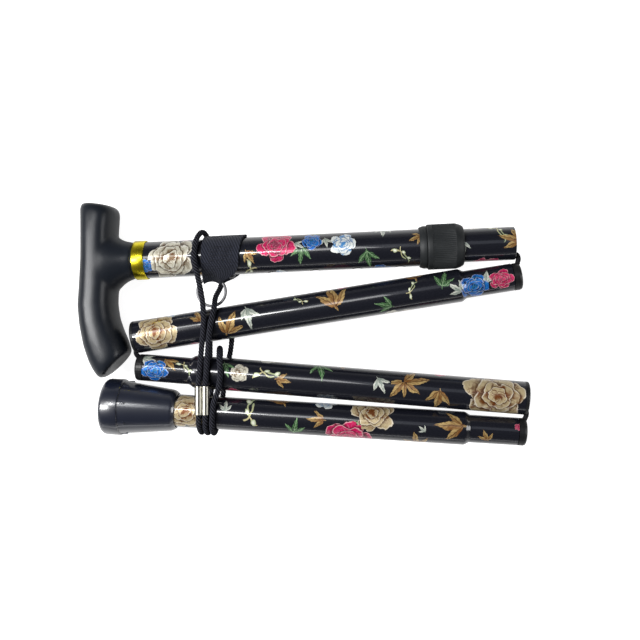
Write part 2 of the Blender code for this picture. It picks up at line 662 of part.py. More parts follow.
def make_snap_button(bench, shaft, tube_axis, button_axis):
    """The button that locks the height, and the leaf spring behind it."""
    bore = TUBE_BORE / 2
    top = UPPER_OD / 2 + BUTTON_RISE
    radius, flange = BUTTON_OD / 2, FLANGE_OD / 2
    seat = math.sqrt(bore**2 - flange**2) - GAP
    outline = [(0.0, top), (0.55 * radius, top - 0.2 * radius), (0.9 * radius, top - 0.6 * radius)]
    outline += [(radius, top - radius), (radius, seat), (flange, seat), (flange, seat - FLANGE_THICKNESS)]
    outline.append((0.0, seat - FLANGE_THICKNESS))
    mesh = profile_mesh("snap_button", outline, closed=False)
    button = screw(bench.add("snap_button", mesh, "bright_steel", button_axis), SMALL_SIDES)
    button.location = shaft.at(FIRST_HOLE)
    button.rotation_euler = (math.pi / 2, 0.0, shaft.turn)
    near = -(seat - FLANGE_THICKNESS - GAP - SPRING_THICKNESS / 2)
    far = math.sqrt(bore**2 - (SPRING_WIDTH / 2) ** 2) - GAP - SPRING_THICKNESS / 2
    start = FIRST_HOLE - SPRING_PAST_BUTTON
    bend, middle = (far - near) / 2, (far + near) / 2
    turn = start + SPRING_LENGTH - bend
    path = [(start, near), (turn, near)]
    for step in range(1, 8):
        angle = math.pi * step / 8
        path.append((turn + bend * math.sin(angle), middle - bend * math.cos(angle)))
    path += [(turn, far), (start, far)]
    half = SPRING_WIDTH / 2
    mesh = bpy.data.meshes.new("snap_spring")
    shape = bmesh.new()
    edges = []
    for along, aside in path:
        edges.append([shape.verts.new(shaft.at(along, aside, up)) for up in (-half, half)])
    for (low, high), (next_low, next_high) in zip(edges, edges[1:]):
        shape.faces.new((low, next_low, next_high, high))
    shape.to_mesh(mesh)
    shape.free()
    spring = bench.add("snap_spring", mesh, "bright_steel", tube_axis)
    leaf = spring.modifiers.new("leaf", "SOLIDIFY")
    leaf.thickness = SPRING_THICKNESS
    leaf.offset = 0.0
    return button, spring


def make_tip(bench, section, parent):
    """The rubber tip: a stepped base, a ribbed and tapered body, a blind bore and a grooved sole."""
    end = section.length
    start = end - TIP_LENGTH
    base = end - TIP_BASE_LENGTH
    wide = TIP_BASE_RADIUS
    body = wide - TIP_STEP
    bore = TUBE_OD / 2 + GAP
    floor = end - TIP_SOLE
    soft = 3.0 * MM
    outside = [(bore + 0.2 * soft, start), (TIP_NECK_RADIUS, start + 0.9 * soft), (body, base)]
    outside += [(wide - 0.4 * MM, base), (wide, base + 0.2 * soft), (wide, end - soft)]
    outside += [(wide - 0.3 * soft, end - 0.3 * soft), (wide - soft, end)]
    for share in GROOVE_EDGES:
        edge, deep = share * wide, end - GROOVE_DEPTH
        outside += [(edge, end), (edge - GROOVE_SLOPE, deep)]
        outside += [(edge - GROOVE_WIDTH + GROOVE_SLOPE, deep), (edge - GROOVE_WIDTH, end)]
    outside += [(0.0, end), (0.0, floor), (bore, floor)]
    tip = turned(bench, "rubber_tip", section, outside, [(bore, start)], "tip_rubber", parent)
    for index in range(RIB_COUNT):
        angle = 2 * math.pi * (index + 0.35) / RIB_COUNT
        reach, across = (base - RIB_LENGTH, base + soft), (-RIB_WIDTH / 2, RIB_WIDTH / 2)
        depth = (body - soft, body + RIB_HEIGHT)
        rib = box(bench, f"tip_rib_{index + 1}", section, reach, across, depth)
        lying = Matrix.Rotation(section.turn, 3, "Z") @ Matrix.Rotation(math.pi / 2, 3, "Y")
        rib.rotation_euler = (lying @ Matrix.Rotation(angle, 3, "Z")).to_euler()
        bench.cut(tip, rib, union=True)
    return tip


def make_band(bench, shaft, parent):
    """The webbing band round the upper tube, drawn down into a narrow fold over the split ring."""
    rings, columns = 36, 4
    hug = UPPER_OD / 2 + GAP
    hang = hug + split_ring_radius() + SPLIT_RING_WIRE / 2
    reach = split_ring_radius() - SPLIT_RING_WIRE / 2 - 2 * GAP
    fold = (SPLIT_RING_ALONG - BAND_FOLD_HALF, SPLIT_RING_ALONG + BAND_FOLD_HALF)
    mesh = bpy.data.meshes.new("wrist_band")
    shape = bmesh.new()
    rows = []
    for ring in range(rings):
        angle = 2 * math.pi * ring / rings
        from_fold = min(angle, 2 * math.pi - angle)
        rise = from_fold / (math.pi / 2)
        blend = rise * rise * (3 - 2 * rise) if rise < 1 else rise - 1
        near, far = (fold, BAND_AT_CREST) if rise < 1 else (BAND_AT_CREST, BAND_AT_FAR_SIDE)
        left, right = (start + (stop - start) * blend for start, stop in zip(near, far))
        row = []
        for column in range(columns):
            along = left + (right - left) * column / (columns - 1)
            apex = hang - math.sqrt(max(reach**2 - (along - SPLIT_RING_ALONG) ** 2, 0.0))
            apex = min(max(apex, hug), 1.5 * hug)
            tangent = math.acos(hug / apex)
            radius = hug / math.cos(max(0.0, tangent - from_fold))
            place = shaft.at(along, -radius * math.cos(angle), radius * math.sin(angle))
            row.append(shape.verts.new(place))
        rows.append(row)
    for row, following in zip(rows, rows[1:] + rows[:1]):
        for column in range(columns - 1):
            shape.faces.new((row[column], following[column], following[column + 1], row[column + 1]))
    bmesh.ops.recalc_face_normals(shape, faces=shape.faces)
    shape.to_mesh(mesh)
    shape.free()
    band = bench.add("wrist_band", mesh, "webbing", parent)
    cloth = band.modifiers.new("webbing", "SOLIDIFY")
    cloth.thickness = BAND_THICKNESS
    cloth.offset = 1.0
    cloth.use_even_offset = True
    return band


def make_split_ring(bench, shaft, parent):
    """The split ring that hangs in the band's fold."""
    radius, wire = split_ring_radius(), SPLIT_RING_WIRE / 2
    drop = UPPER_OD / 2 + GAP + radius + wire
    angles = [math.pi / 2 - index * math.pi / 4 for index in range(8)]
    outline = [(radius + wire * math.cos(angle), wire * math.sin(angle)) for angle in angles]
    mesh = profile_mesh("split_ring", outline, closed=True)
    ring = screw(bench.add("split_ring", mesh, "bright_steel", parent), SIDES)
    ring.location = shaft.at(SPLIT_RING_ALONG, -drop)
    return ring


# The wrist cord's route, in millimetres: out of the ferrule's right barrel, over the folded
# sections, through the split ring, behind and over the upper tube, back into the left barrel,
# round the bundle twice and into the right barrel again
FERRULE_X, FERRULE_Y, FERRULE_Z = -56.7, -46.2, 29.6
BARREL_LEFT = FERRULE_X - FERRULE_PITCH / MM / 2
BARREL_RIGHT = FERRULE_X + FERRULE_PITCH / MM / 2
WRIST_CORD_ROUTE = (
    (BARREL_RIGHT, -45.4, FERRULE_Z), (BARREL_RIGHT, -37.0, FERRULE_Z), (-54.2, -28.6, 29.0),
    (-53.3, -14.5, 28.4), (-51.8, -2.2, 29.3), (-50.4, 7.8, 25.8), (-51.2, 14.8, 17.2),
    (-49.6, 22.1, 8.6), (-50.2, 30.8, 4.2), (-53.6, 40.2, 2.1), (-57.0, 49.2, 4.8),
    (-58.9, 54.2, 16.5), (-60.8, 49.0, 26.4), (-61.2, 38.0, 31.0), (-59.0, 25.5, 29.4),
    (-56.4, 11.5, 29.3), (-55.9, -2.8, 29.2), (-57.2, -15.5, 28.5), (-58.2, -28.6, 29.0),
    (BARREL_LEFT, -37.0, FERRULE_Z), (BARREL_LEFT, -46.0, FERRULE_Z), (BARREL_LEFT, -54.8, FERRULE_Z),
    (-59.0, -61.8, 26.9), (-59.3, -66.6, 17.0), (-59.4, -62.0, 7.1), (-58.6, -54.0, 4.6),
    (-55.6, -42.2, 8.2), (-52.4, -31.0, 4.6), (-49.9, -20.2, 7.6), (-48.6, -15.9, 17.0),
    (-47.2, -20.6, 26.2), (-45.9, -29.5, 29.0), (-47.2, -40.0, 28.4), (-49.9, -47.4, 28.9),
    (-50.6, -54.4, 29.2), (-51.3, -62.6, 26.5), (-51.9, -67.0, 17.0), (-51.7, -62.6, 7.3),
    (-50.2, -54.0, 4.6), (-47.0, -30.8, 4.8), (-44.2, -18.0, 5.2), (-43.4, -8.0, 5.1),
    (-45.2, -1.5, 5.1), (-50.0, 1.2, 5.1), (-54.8, -1.5, 5.1), (-56.8, -8.0, 5.1),
    (-57.0, -18.0, 4.9), (-57.2, -29.5, 4.5), (-57.0, -42.0, 4.2), (-55.1, -54.0, 4.5),
    (-55.3, -62.3, 7.2), (-55.6, -66.9, 17.0), (-55.2, -62.4, 26.5), (BARREL_RIGHT, -54.8, FERRULE_Z),
    (BARREL_RIGHT, -50.8, FERRULE_Z), (BARREL_RIGHT, -47.0, FERRULE_Z),
)


def make_wrist_cord(bench, parent):
    """The wrist cord, drawn tight round the folded sections."""
    route = [Vector(point) * MM for point in WRIST_CORD_ROUTE]
    return cord(bench, "wrist_cord", route, WRIST_CORD_D, 80, "braided_cord", parent)


def make_ferrule(bench, parent):
    """The double ferrule that clamps the wrist cord's two strands."""
    barrels = []
    half, outer, bore = FERRULE_LENGTH / 2, FERRULE_BARREL_OD / 2, FERRULE_BORE / 2
    outline = [(outer, half), (outer, -half), (bore, -half), (bore, half)]
    for name, x in (("cord_ferrule", BARREL_LEFT), ("ferrule_barrel", BARREL_RIGHT)):
        item = bench.add(name, profile_mesh(name, outline, closed=True), "bright_steel", parent)
        screw(item, SMALL_SIDES)
        item.location = Vector((x, FERRULE_Y, FERRULE_Z)) * MM
        item.rotation_euler = (-math.pi / 2, 0.0, 0.0)
        barrels.append(item)
    bench.cut(barrels[0], barrels[1], union=True)
    for name, x in (("left_bore", BARREL_LEFT), ("right_bore", BARREL_RIGHT)):
        place, way = Vector((x, FERRULE_Y, FERRULE_Z)) * MM, Vector((0.0, 1.0, 0.0))
        bench.cut(barrels[0], cylinder(bench, name, bore, 1.2 * FERRULE_LENGTH, place, way))
    return barrels[0]


def cut_button_hole(bench, tube, shaft):
    """The hole in the first lower tube that the snap button stands in."""
    place = shaft.at(FIRST_HOLE, -TUBE_OD / 2)
    bench.cut(tube, cylinder(bench, "button_hole", BUTTON_OD / 2 + GAP, TUBE_OD / 2, place, shaft.left()))


def make_lower_sections(bench, sections, axes):
    """The lower tubes with their bushes, plugs and stretches of shock cord."""
    for number, (section, parent) in enumerate(zip(sections, axes), start=1):
        last = number == len(sections)
        lipped = number in (2, 3)
        end = section.length
        if last:
            end -= TIP_TUBE_SEAT
        elif lipped:
            end -= BUSH_LIP + GAP
        walls = tube_outline(end, number > 1)
        tube = turned(bench, f"tube_{number}", section, *walls, "printed_tube", parent)
        if number == 1:
            cut_button_hole(bench, tube, section)
        cord_start = TOP_ANCHOR_ALONG - GAP
        if number > 1:
            make_plug(bench, number, section, FOLDS[number - 2], parent)
            cord_start = LOOP_AHEAD + GAP
        if last:
            anchor = end - ANCHOR_LENGTH - KNOT_LENGTH - 2 * GAP
            make_anchor(bench, "tip_anchor", section, anchor, parent)
            make_knot(bench, "tip_knot", section, anchor + ANCHOR_LENGTH + GAP, parent)
            make_straight_cord(bench, number, section, cord_start, anchor + ANCHOR_LENGTH, parent)
            continue
        fold, following = FOLDS[number - 1], sections[number]
        make_bush(bench, number, section, fold, lipped, parent)
        make_straight_cord(bench, number, section, cord_start, section.length - LOOP_INSIDE - GAP, parent)
        make_cord_loop(bench, number, section, fold, following, lipped, parent)


def main() -> None:
    bench = Bench()
    sections = lay_out()
    shaft = sections[0]
    root = bench.axis("cane", shaft.start)
    nut_axis = bench.axis("lock_nut_axis", shaft.start, root)
    height_axis = bench.axis("height_axis", shaft.start, root)
    button_axis = bench.axis("button_axis", shaft.at(FIRST_HOLE), height_axis)
    axes = [height_axis]
    for number, (section, fold) in enumerate(zip(sections, FOLDS), start=1):
        axes.append(bench.axis(f"fold_{number}_axis", pivot_of(section, fold), axes[-1]))
    make_handle(bench, shaft, root)
    make_handle_screw(bench, shaft, root)
    make_neck_ring(bench, shaft, root)
    make_upper_tube(bench, shaft, root)
    make_lock_collar(bench, shaft, root, nut_axis)
    make_snap_button(bench, shaft, height_axis, button_axis)
    make_anchor(bench, "top_anchor", shaft, TOP_ANCHOR_ALONG, height_axis)
    make_knot(bench, "top_knot", shaft, TOP_ANCHOR_ALONG - 2 * GAP - KNOT_LENGTH, height_axis)
    make_lower_sections(bench, sections, axes)
    tip_section, tip_axis = sections[-1], axes[-1]
    make_tip(bench, tip_section, tip_axis)
    washer_end = tip_section.length - TIP_SOLE - GAP
    walls = [(0.0, washer_end - WASHER_THICKNESS), (TUBE_OD / 2 - GAP, washer_end - WASHER_THICKNESS)]
    walls += [(TUBE_OD / 2 - GAP, washer_end), (0.0, washer_end)]
    turned(bench, "tip_washer", tip_section, walls, [], "bright_steel", tip_axis)
    make_band(bench, shaft, root)
    make_split_ring(bench, shaft, root)
    make_wrist_cord(bench, root)
    make_ferrule(bench, root)


main()
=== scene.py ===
"""Dresses the folded walking cane: its print, plastics, metals, webbing and cords, and the studio."""
import logging
import math
from dataclasses import dataclass
from enum import Enum
from functools import reduce

import bmesh
import bpy
import numpy as np
from bpy.types import Material, Node, Object
from bpy.types import NodeSocket as Socket
from mathutils import Matrix, Vector


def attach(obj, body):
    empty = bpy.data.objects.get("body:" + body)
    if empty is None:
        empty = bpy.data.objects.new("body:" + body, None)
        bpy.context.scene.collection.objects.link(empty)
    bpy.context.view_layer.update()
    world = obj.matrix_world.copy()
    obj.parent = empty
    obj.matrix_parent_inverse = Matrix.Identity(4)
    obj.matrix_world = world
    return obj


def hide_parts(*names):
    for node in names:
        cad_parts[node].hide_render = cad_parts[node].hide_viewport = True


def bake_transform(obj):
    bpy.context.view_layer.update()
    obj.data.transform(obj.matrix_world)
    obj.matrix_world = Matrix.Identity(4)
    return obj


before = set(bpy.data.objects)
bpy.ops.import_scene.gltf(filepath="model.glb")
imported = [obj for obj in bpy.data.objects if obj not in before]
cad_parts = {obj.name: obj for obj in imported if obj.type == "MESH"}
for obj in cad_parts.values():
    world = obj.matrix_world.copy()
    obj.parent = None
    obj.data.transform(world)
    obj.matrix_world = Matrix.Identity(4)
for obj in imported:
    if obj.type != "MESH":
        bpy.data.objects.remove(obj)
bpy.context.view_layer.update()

LOG = logging.getLogger("folding_cane")
MM = 0.001
TAU = 2 * math.pi
UP = Vector((0.0, 0.0, 1.0))
LEFT = Vector((0.0, 1.0, 0.0))  # in a section's own frame
MAP = "around_along"  # the name of the UV maps, which run round a piece and along it

Value = Socket | float | tuple
Colour = tuple[float, float, float]
Place = tuple[float, float, float]
Outline = list[tuple[float, float]]  # (radius, along) points in order

# Sizes that the sub-assemblies share, as the CAD model has them
GAP = 0.3 * MM  # running clearance between neighbouring pieces
AXIS_HEIGHT = 17.0 * MM  # of all four sections over the ground
TUBE_OD = 19.6 * MM
TUBE_BORE = 18.3 * MM
UPPER_OD = 22.0 * MM
UPPER_BORE = 20.2 * MM
HOLE_RADIUS = 3.3 * MM
FIRST_HOLE = 58.1 * MM  # along the shaft, where the snap button stands
LIPPED = (2, 3)  # the tubes whose mouth bush has a lip
LIP = 2.0 * MM
SHOCK_CORD_D = 3.0 * MM
WRIST_CORD_D = 3.2 * MM
RING_ALONG = 45.8 * MM  # the split ring's middle, along the shaft
RING_RADIUS = 8.622 * MM  # from its middle to the middle of its wire


@dataclass(frozen=True)
class Section:
    """One tube section of the folded cane, by the middle of its upper end."""

    x: float
    y: float
    turn: float  # degrees in the plane of the folded cane
    length: float

    def matrix(self) -> Matrix:
        """The frame whose Z runs along the section, Y to its left and X down."""
        lying = Matrix.Rotation(math.radians(self.turn), 4, "Z") @ Matrix.Rotation(math.pi / 2, 4, "Y")
        return Matrix.Translation((self.x, self.y, AXIS_HEIGHT)) @ lying

    def at(self, along: float, aside: float = 0.0, up: float = 0.0) -> Vector:
        """A point by its distances along, to the left of and above the section's axis."""
        return self.matrix() @ Vector((-up, aside, along))


SHAFT = Section(-100.19 * MM, 37.17 * MM, 2.3, 226.8 * MM)
SECTION_2 = Section(130.195 * MM, 27.161 * MM, -170.9941, 234.5 * MM)
SECTION_3 = Section(-99.091 * MM, -27.364 * MM, -4.2941, 234.0 * MM)
SECTION_4 = Section(133.096 * MM, -64.640 * MM, -183.0441, 252.2 * MM)


class Body(Enum):
    """The rigid bodies that pieces ride on."""

    UPPER = "upper_part"
    NUT = "lock_nut"
    FIRST = "section_1"
    BUTTON = "button"
    SECOND = "section_2"
    THIRD = "section_3"
    FOURTH = "section_4"


class Slot(Enum):
    """The record's material slots, by name."""

    HANDLE = "handle_plastic"
    GOLD = "gold_anodised"
    TUBE = "printed_tube"
    LOCK = "lock_plastic"
    TIP = "tip_rubber"
    STEEL = "bright_steel"
    WEBBING = "webbing"
    CORD = "braided_cord"
    ELASTIC = "elastic_cord"


# Modelling steps that all the sub-assemblies share


def deselect() -> None:
    """Leaves object mode with nothing selected."""
    if bpy.context.object is not None and bpy.context.object.mode != "OBJECT":
        bpy.ops.object.mode_set(mode="OBJECT")
    bpy.ops.object.select_all(action="DESELECT")


def pick(piece: Object) -> None:
    """Makes one object the only selected and active one.

    Args:
        piece: The object.
    """
    deselect()
    piece.select_set(True)
    bpy.context.view_layer.objects.active = piece


def apply_modifier(piece: Object, kind: str, **values: object) -> None:
    """Adds a modifier with the given values and applies it.

    Args:
        piece: The object that the modifier changes.
        kind: The modifier's type.
        values: The modifier's settings by name.
    """
    pick(piece)
    bpy.ops.object.modifier_add(type=kind)
    modifier = piece.modifiers[-1]
    for name, value in values.items():
        setattr(modifier, name, value)
    bpy.ops.object.modifier_apply(modifier=modifier.name)


def settle(piece: Object, place: Matrix) -> Object:
    """Puts a piece at its place and applies that to its mesh.

    Args:
        piece: The piece, modelled about the world's origin.
        place: Its place.

    Returns:
        The same piece.
    """
    pick(piece)
    piece.matrix_world = place
    bpy.ops.object.transform_apply(location=True, rotation=True, scale=True)
    return piece


def face_out(piece: Object, merge: float = 0.005 * MM) -> None:
    """Merges a piece's doubles and turns its faces outwards.

    Args:
        piece: The piece.
        merge: The distance up to which two points become one.
    """
    pick(piece)
    bpy.ops.object.mode_set(mode="EDIT")
    bpy.ops.mesh.select_all(action="SELECT")
    bpy.ops.mesh.remove_doubles(threshold=merge)
    bpy.ops.mesh.normals_make_consistent(inside=False)
    bpy.ops.object.mode_set(mode="OBJECT")


def smooth(piece: Object, angle: float = 32.0) -> None:
    """Shades a piece smooth up to an angle between its faces, in degrees."""
    pick(piece)
    bpy.ops.object.shade_smooth_by_angle(angle=math.radians(angle))


def ease(share: float) -> float:
    """The smooth rise from 0 to 1 of a share that rises evenly."""
    return share * share * (3 - 2 * share)


def metres(profile: Outline) -> Outline:
    """An outline that is written in millimetres, in metres."""
    return [(radius * MM, along * MM) for radius, along in profile]


def turned(name: str, outline: Outline, sides: int, closed: bool = False) -> Object:
    """Turns an outline about Z by extruding a ring from point to point.

    Args:
        name: The new object's name.
        outline: The points to turn.
        sides: The number of sides of each ring.
        closed: Whether the outline returns to its first point, as a hollow piece's does.

    Returns:
        The turned object, in object mode, with its faces outwards.
    """
    deselect()
    least = 0.01 * MM  # radius of a ring that stands for a point on the axis, until it is merged
    merge = 0.021 * MM  # a little over such a ring's width
    radius, along = outline[0]
    here = max(radius, least)
    bpy.ops.mesh.primitive_circle_add(vertices=sides, radius=here, location=(0.0, 0.0, along))
    piece = bpy.context.object
    piece.name = name
    piece.data.name = name
    bpy.ops.object.transform_apply(location=True, rotation=True, scale=True)
    bpy.ops.object.mode_set(mode="EDIT")
    bpy.ops.mesh.select_all(action="SELECT")
    for radius, next_along in outline[1:] + (outline[:1] if closed else []):
        there = max(radius, least)
        bpy.ops.mesh.extrude_region_move(TRANSFORM_OT_translate={"value": (0.0, 0.0, next_along - along)})
        if there != here:
            share = there / here
            bpy.ops.transform.resize(value=(share, share, 1.0), center_override=(0.0, 0.0, next_along))
        here, along = there, next_along
    bpy.ops.object.mode_set(mode="OBJECT")
    face_out(piece, merge)
    return piece


def wrap_uv(piece: Object, radius: float) -> None:
    """Gives a turned piece, still about Z, a UV map in metres: round its surface and along it.

    Args:
        piece: The turned piece, whose X points down when it lies in its place.
        radius: The radius at which the round part of the map is measured.
    """
    mesh = piece.data
    layer = mesh.uv_layers.new(name=MAP)
    points = np.empty(len(mesh.vertices) * 3)
    mesh.vertices.foreach_get("co", points)
    points = points.reshape(-1, 3)
    corners = np.empty(len(mesh.loops), dtype=np.int64)
    mesh.loops.foreach_get("vertex_index", corners)
    angles = np.arctan2(points[corners, 1], -points[corners, 0])
    totals = np.empty(len(mesh.polygons), dtype=np.int64)
    mesh.polygons.foreach_get("loop_total", totals)
    faces = np.repeat(np.arange(len(totals)), totals)
    highest = np.full(len(totals), -math.inf)
    lowest = np.full(len(totals), math.inf)
    np.maximum.at(highest, faces, angles)
    np.minimum.at(lowest, faces, angles)
    over_seam = (highest - lowest > math.pi)[faces] & (angles < 0.0)
    angles[over_seam] += TAU
    flat = np.column_stack([angles * radius, points[corners, 2]])
    layer.data.foreach_set("uv", flat.ravel())


def stations(start: float, stop: float, step: float = 3.0 * MM) -> list[float]:
    """Evenly spaced stops between two distances along a tube, both included."""
    return np.linspace(start, stop, max(round((stop - start) / step), 1) + 1).tolist()


def combine(piece: Object, other: Object, operation: str = "UNION") -> None:
    """Joins another object to a piece, or cuts it out of the piece, and deletes the other."""
    apply_modifier(piece, "BOOLEAN", operation=operation, object=other, solver="EXACT")
    bpy.data.objects.remove(other, do_unlink=True)


def aimed(place: Vector, way: Vector, axis: str = "Z") -> Matrix:
    """The placement of something whose given axis points in a direction."""
    return Matrix.Translation(place) @ way.to_track_quat(axis, "Y").to_matrix().to_4x4()


def drill(tube: Object, section: Section, along: float, outer: float) -> None:
    """Cuts a height hole into a tube's right side.

    Args:
        tube: The tube, in its place.
        section: The section that it belongs to.
        along: The hole's distance along the section.
        outer: The tube's outer radius.
    """
    deselect()
    bpy.ops.mesh.primitive_cylinder_add(vertices=40, radius=HOLE_RADIUS, depth=outer)
    place = aimed(section.at(along, -outer), section.matrix().to_3x3() @ LEFT)
    combine(tube, settle(bpy.context.object, place), "DIFFERENCE")


def report(piece: Object) -> None:
    """Logs a finished piece."""
    LOG.info("%s: %d faces", piece.name, len(piece.data.polygons))


def dress(piece: Object, material: Material, slot: Slot, body: Body, *nodes: str) -> None:
    """Finishes a piece, puts it on its body and hides the CAD nodes that it replaces.

    Args:
        piece: The finished piece, with its place in its mesh.
        material: Its finish.
        slot: The record's slot that the finish belongs to; not used.
        body: The body that it rides on.
        nodes: The CAD nodes that it replaces.
    """
    piece.data.materials.clear()
    piece.data.materials.append(material)
    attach(piece, body.value)
    if nodes:
        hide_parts(*nodes)
    report(piece)


def resample(points: list[Vector], count: int) -> list[Vector]:
    """Spaces points evenly on the straight stretches between points.

    Args:
        points: The points that the stretches join.
        count: The number of points to return.

    Returns:
        The new points, from the first to the last.
    """
    table = np.array([tuple(point) for point in points])
    travelled = np.concatenate([[0.0], np.cumsum(np.linalg.norm(np.diff(table, axis=0), axis=1))])
    stops = np.linspace(0.0, travelled[-1], count)
    columns = (np.interp(stops, travelled, table[:, axis]) for axis in range(3))
    return [Vector(point) for point in zip(*columns)]


def smooth_route(route: list[Vector], count: int) -> list[Vector]:
    """Evenly spaced points on one smooth curve through a route's points.

    Args:
        route: The points that the curve passes.
        count: The number of points to return.

    Returns:
        The points, from the route's first to its last.
    """
    knots = [2 * route[0] - route[1], *route, 2 * route[-1] - route[-2]]
    fine = []
    for before, here, there, after in zip(knots, knots[1:], knots[2:], knots[3:]):
        for step in range(12):
            share = step / 12
            slope = (there - before) * share
            bend = (2 * before - 5 * here + 4 * there - after) * share**2
            twist = (3 * here - before - 3 * there + after) * share**3
            fine.append((2 * here + slope + bend + twist) / 2)
    return resample([*fine, route[-1]], count)


def route_length(points: list[Vector]) -> float:
    """The length of a line through points."""
    return sum((there - here).length for here, there in zip(points, points[1:]))


def ring_faces(rings: int, sides: int, closed: bool = False) -> list[tuple[int, ...]]:
    """The faces between rings of points.

    Args:
        rings: The number of rings, each of whose points follow the last one's.
        sides: The number of points of each ring.
        closed: Whether the last ring also meets the first.

    Returns:
        Four point numbers for each face, ring by ring.
    """
    faces = []
    for ring in range(rings if closed else rings - 1):
        low, high = ring * sides, (ring + 1) % rings * sides
        for side in range(sides):
            beside = (side + 1) % sides
            faces.append((low + side, low + beside, high + beside, high + side))
    return faces


def mapped(name: str, points: list, faces: list[tuple[int, ...]], flat: Outline) -> Object:
    """Makes an object from its points and faces.

    Args:
        name: The new object's name.
        points: Its points.
        faces: Its faces, each as point numbers.
        flat: The UV map's point for each corner of each face.

    Returns:
        The object, which the scene holds.
    """
    mesh = bpy.data.meshes.new(name)
    mesh.from_pydata(points, [], faces)
    mesh.uv_layers.new(name=MAP).data.foreach_set("uv", np.array(flat).ravel())
    item = bpy.data.objects.new(name, mesh)
    bpy.context.scene.collection.objects.link(item)
    return item


@dataclass(frozen=True)
class Braid:
    """A braided cord's surface: strands that cross each other round a core."""

    diameter: float
    sides: int = 24
    step: float = 0.4 * MM  # between rings of points
    strands: int = 8  # wound each way
    pitch: float = 12.0 * MM  # along the cord, for one turn of a strand
    relief: float = 0.09  # share of the radius
    counter: float = 1.0  # height of the strands wound the other way, against the first

    def line(self, points: list[Vector], rings: int) -> tuple[np.ndarray, np.ndarray, np.ndarray]:
        """The cord's line with a frame that doesn't twist about it.

        Args:
            points: The points of the cord's line.
            rings: The number of points to return.

        Returns:
            The points, and each one's directions to the side and upwards.
        """
        table = np.array([tuple(point) for point in resample(points, rings)])
        tangents = np.gradient(table, axis=0)
        tangents /= np.linalg.norm(tangents, axis=1)[:, None]
        sideways = np.empty_like(table)
        start = np.cross(tangents[0], UP)
        if np.linalg.norm(start) < 0.1:  # the cord starts upright
            start = np.cross(tangents[0], LEFT)
        sideways[0] = start / np.linalg.norm(start)
        for index in range(1, rings):
            kept = sideways[index - 1] - tangents[index] * np.dot(sideways[index - 1], tangents[index])
            sideways[index] = kept / np.linalg.norm(kept)
        return table, sideways, np.cross(tangents, sideways)

    def radii(self, angles: np.ndarray, along: np.ndarray) -> np.ndarray:
        """The surface's distance from the line, which rises at each strand.

        Args:
            angles: The points' angles in each ring.
            along: The rings' distances along the cord.

        Returns:
            A row for each ring.
        """
        climb = TAU * self.strands * along[:, None] / self.pitch
        turn_one = self.strands * angles[None, :] + climb
        turn_two = self.strands * angles[None, :] - climb
        crossing = 0.5 + 0.5 * np.cos((turn_one + turn_two) / 2) * np.cos((turn_one - turn_two) / 2)
        crossing = 1 - self.counter * (1 - crossing)
        lift = np.maximum(np.cos(turn_one) * crossing, self.counter * np.cos(turn_two) * (1 - crossing))
        return self.diameter / 2 * (1 - self.relief + self.relief * lift)

    def mesh(self, name: str, points: list[Vector]) -> Object:
        """A closed tube along a line.

        Args:
            name: The new object's name.
            points: The points of the cord's line, close together.

        Returns:
            The cord's mesh, with a UV map of turns round it and metres along it.
        """
        length = route_length(points)
        rings = max(int(length / self.step), 4)
        along = np.linspace(0.0, length, rings)
        angles = np.arange(self.sides) * TAU / self.sides
        table, sideways, upward = self.line(points, rings)
        spokes = np.cos(angles)[:, None] * sideways[:, None] + np.sin(angles)[:, None] * upward[:, None]
        vertices = (table[:, None] + self.radii(angles, along)[:, :, None] * spokes).reshape(-1, 3)
        faces = ring_faces(rings, self.sides)
        flat = []
        for low, high in zip(along, along[1:]):
            for side in range(self.sides):
                left, right = side / self.sides, (side + 1) / self.sides
                flat += [(left, low), (right, low), (right, high), (left, high)]
        last = (rings - 1) * self.sides
        faces += [tuple(range(self.sides - 1, -1, -1)), tuple(range(last, last + self.sides))]
        flat += [(0.0, 0.0)] * self.sides + [(0.0, length)] * self.sides
        cord = mapped(name, vertices.tolist(), faces, flat)
        face_out(cord, 0.0)
        smooth(cord, 60.0)
        return cord


# The finishes


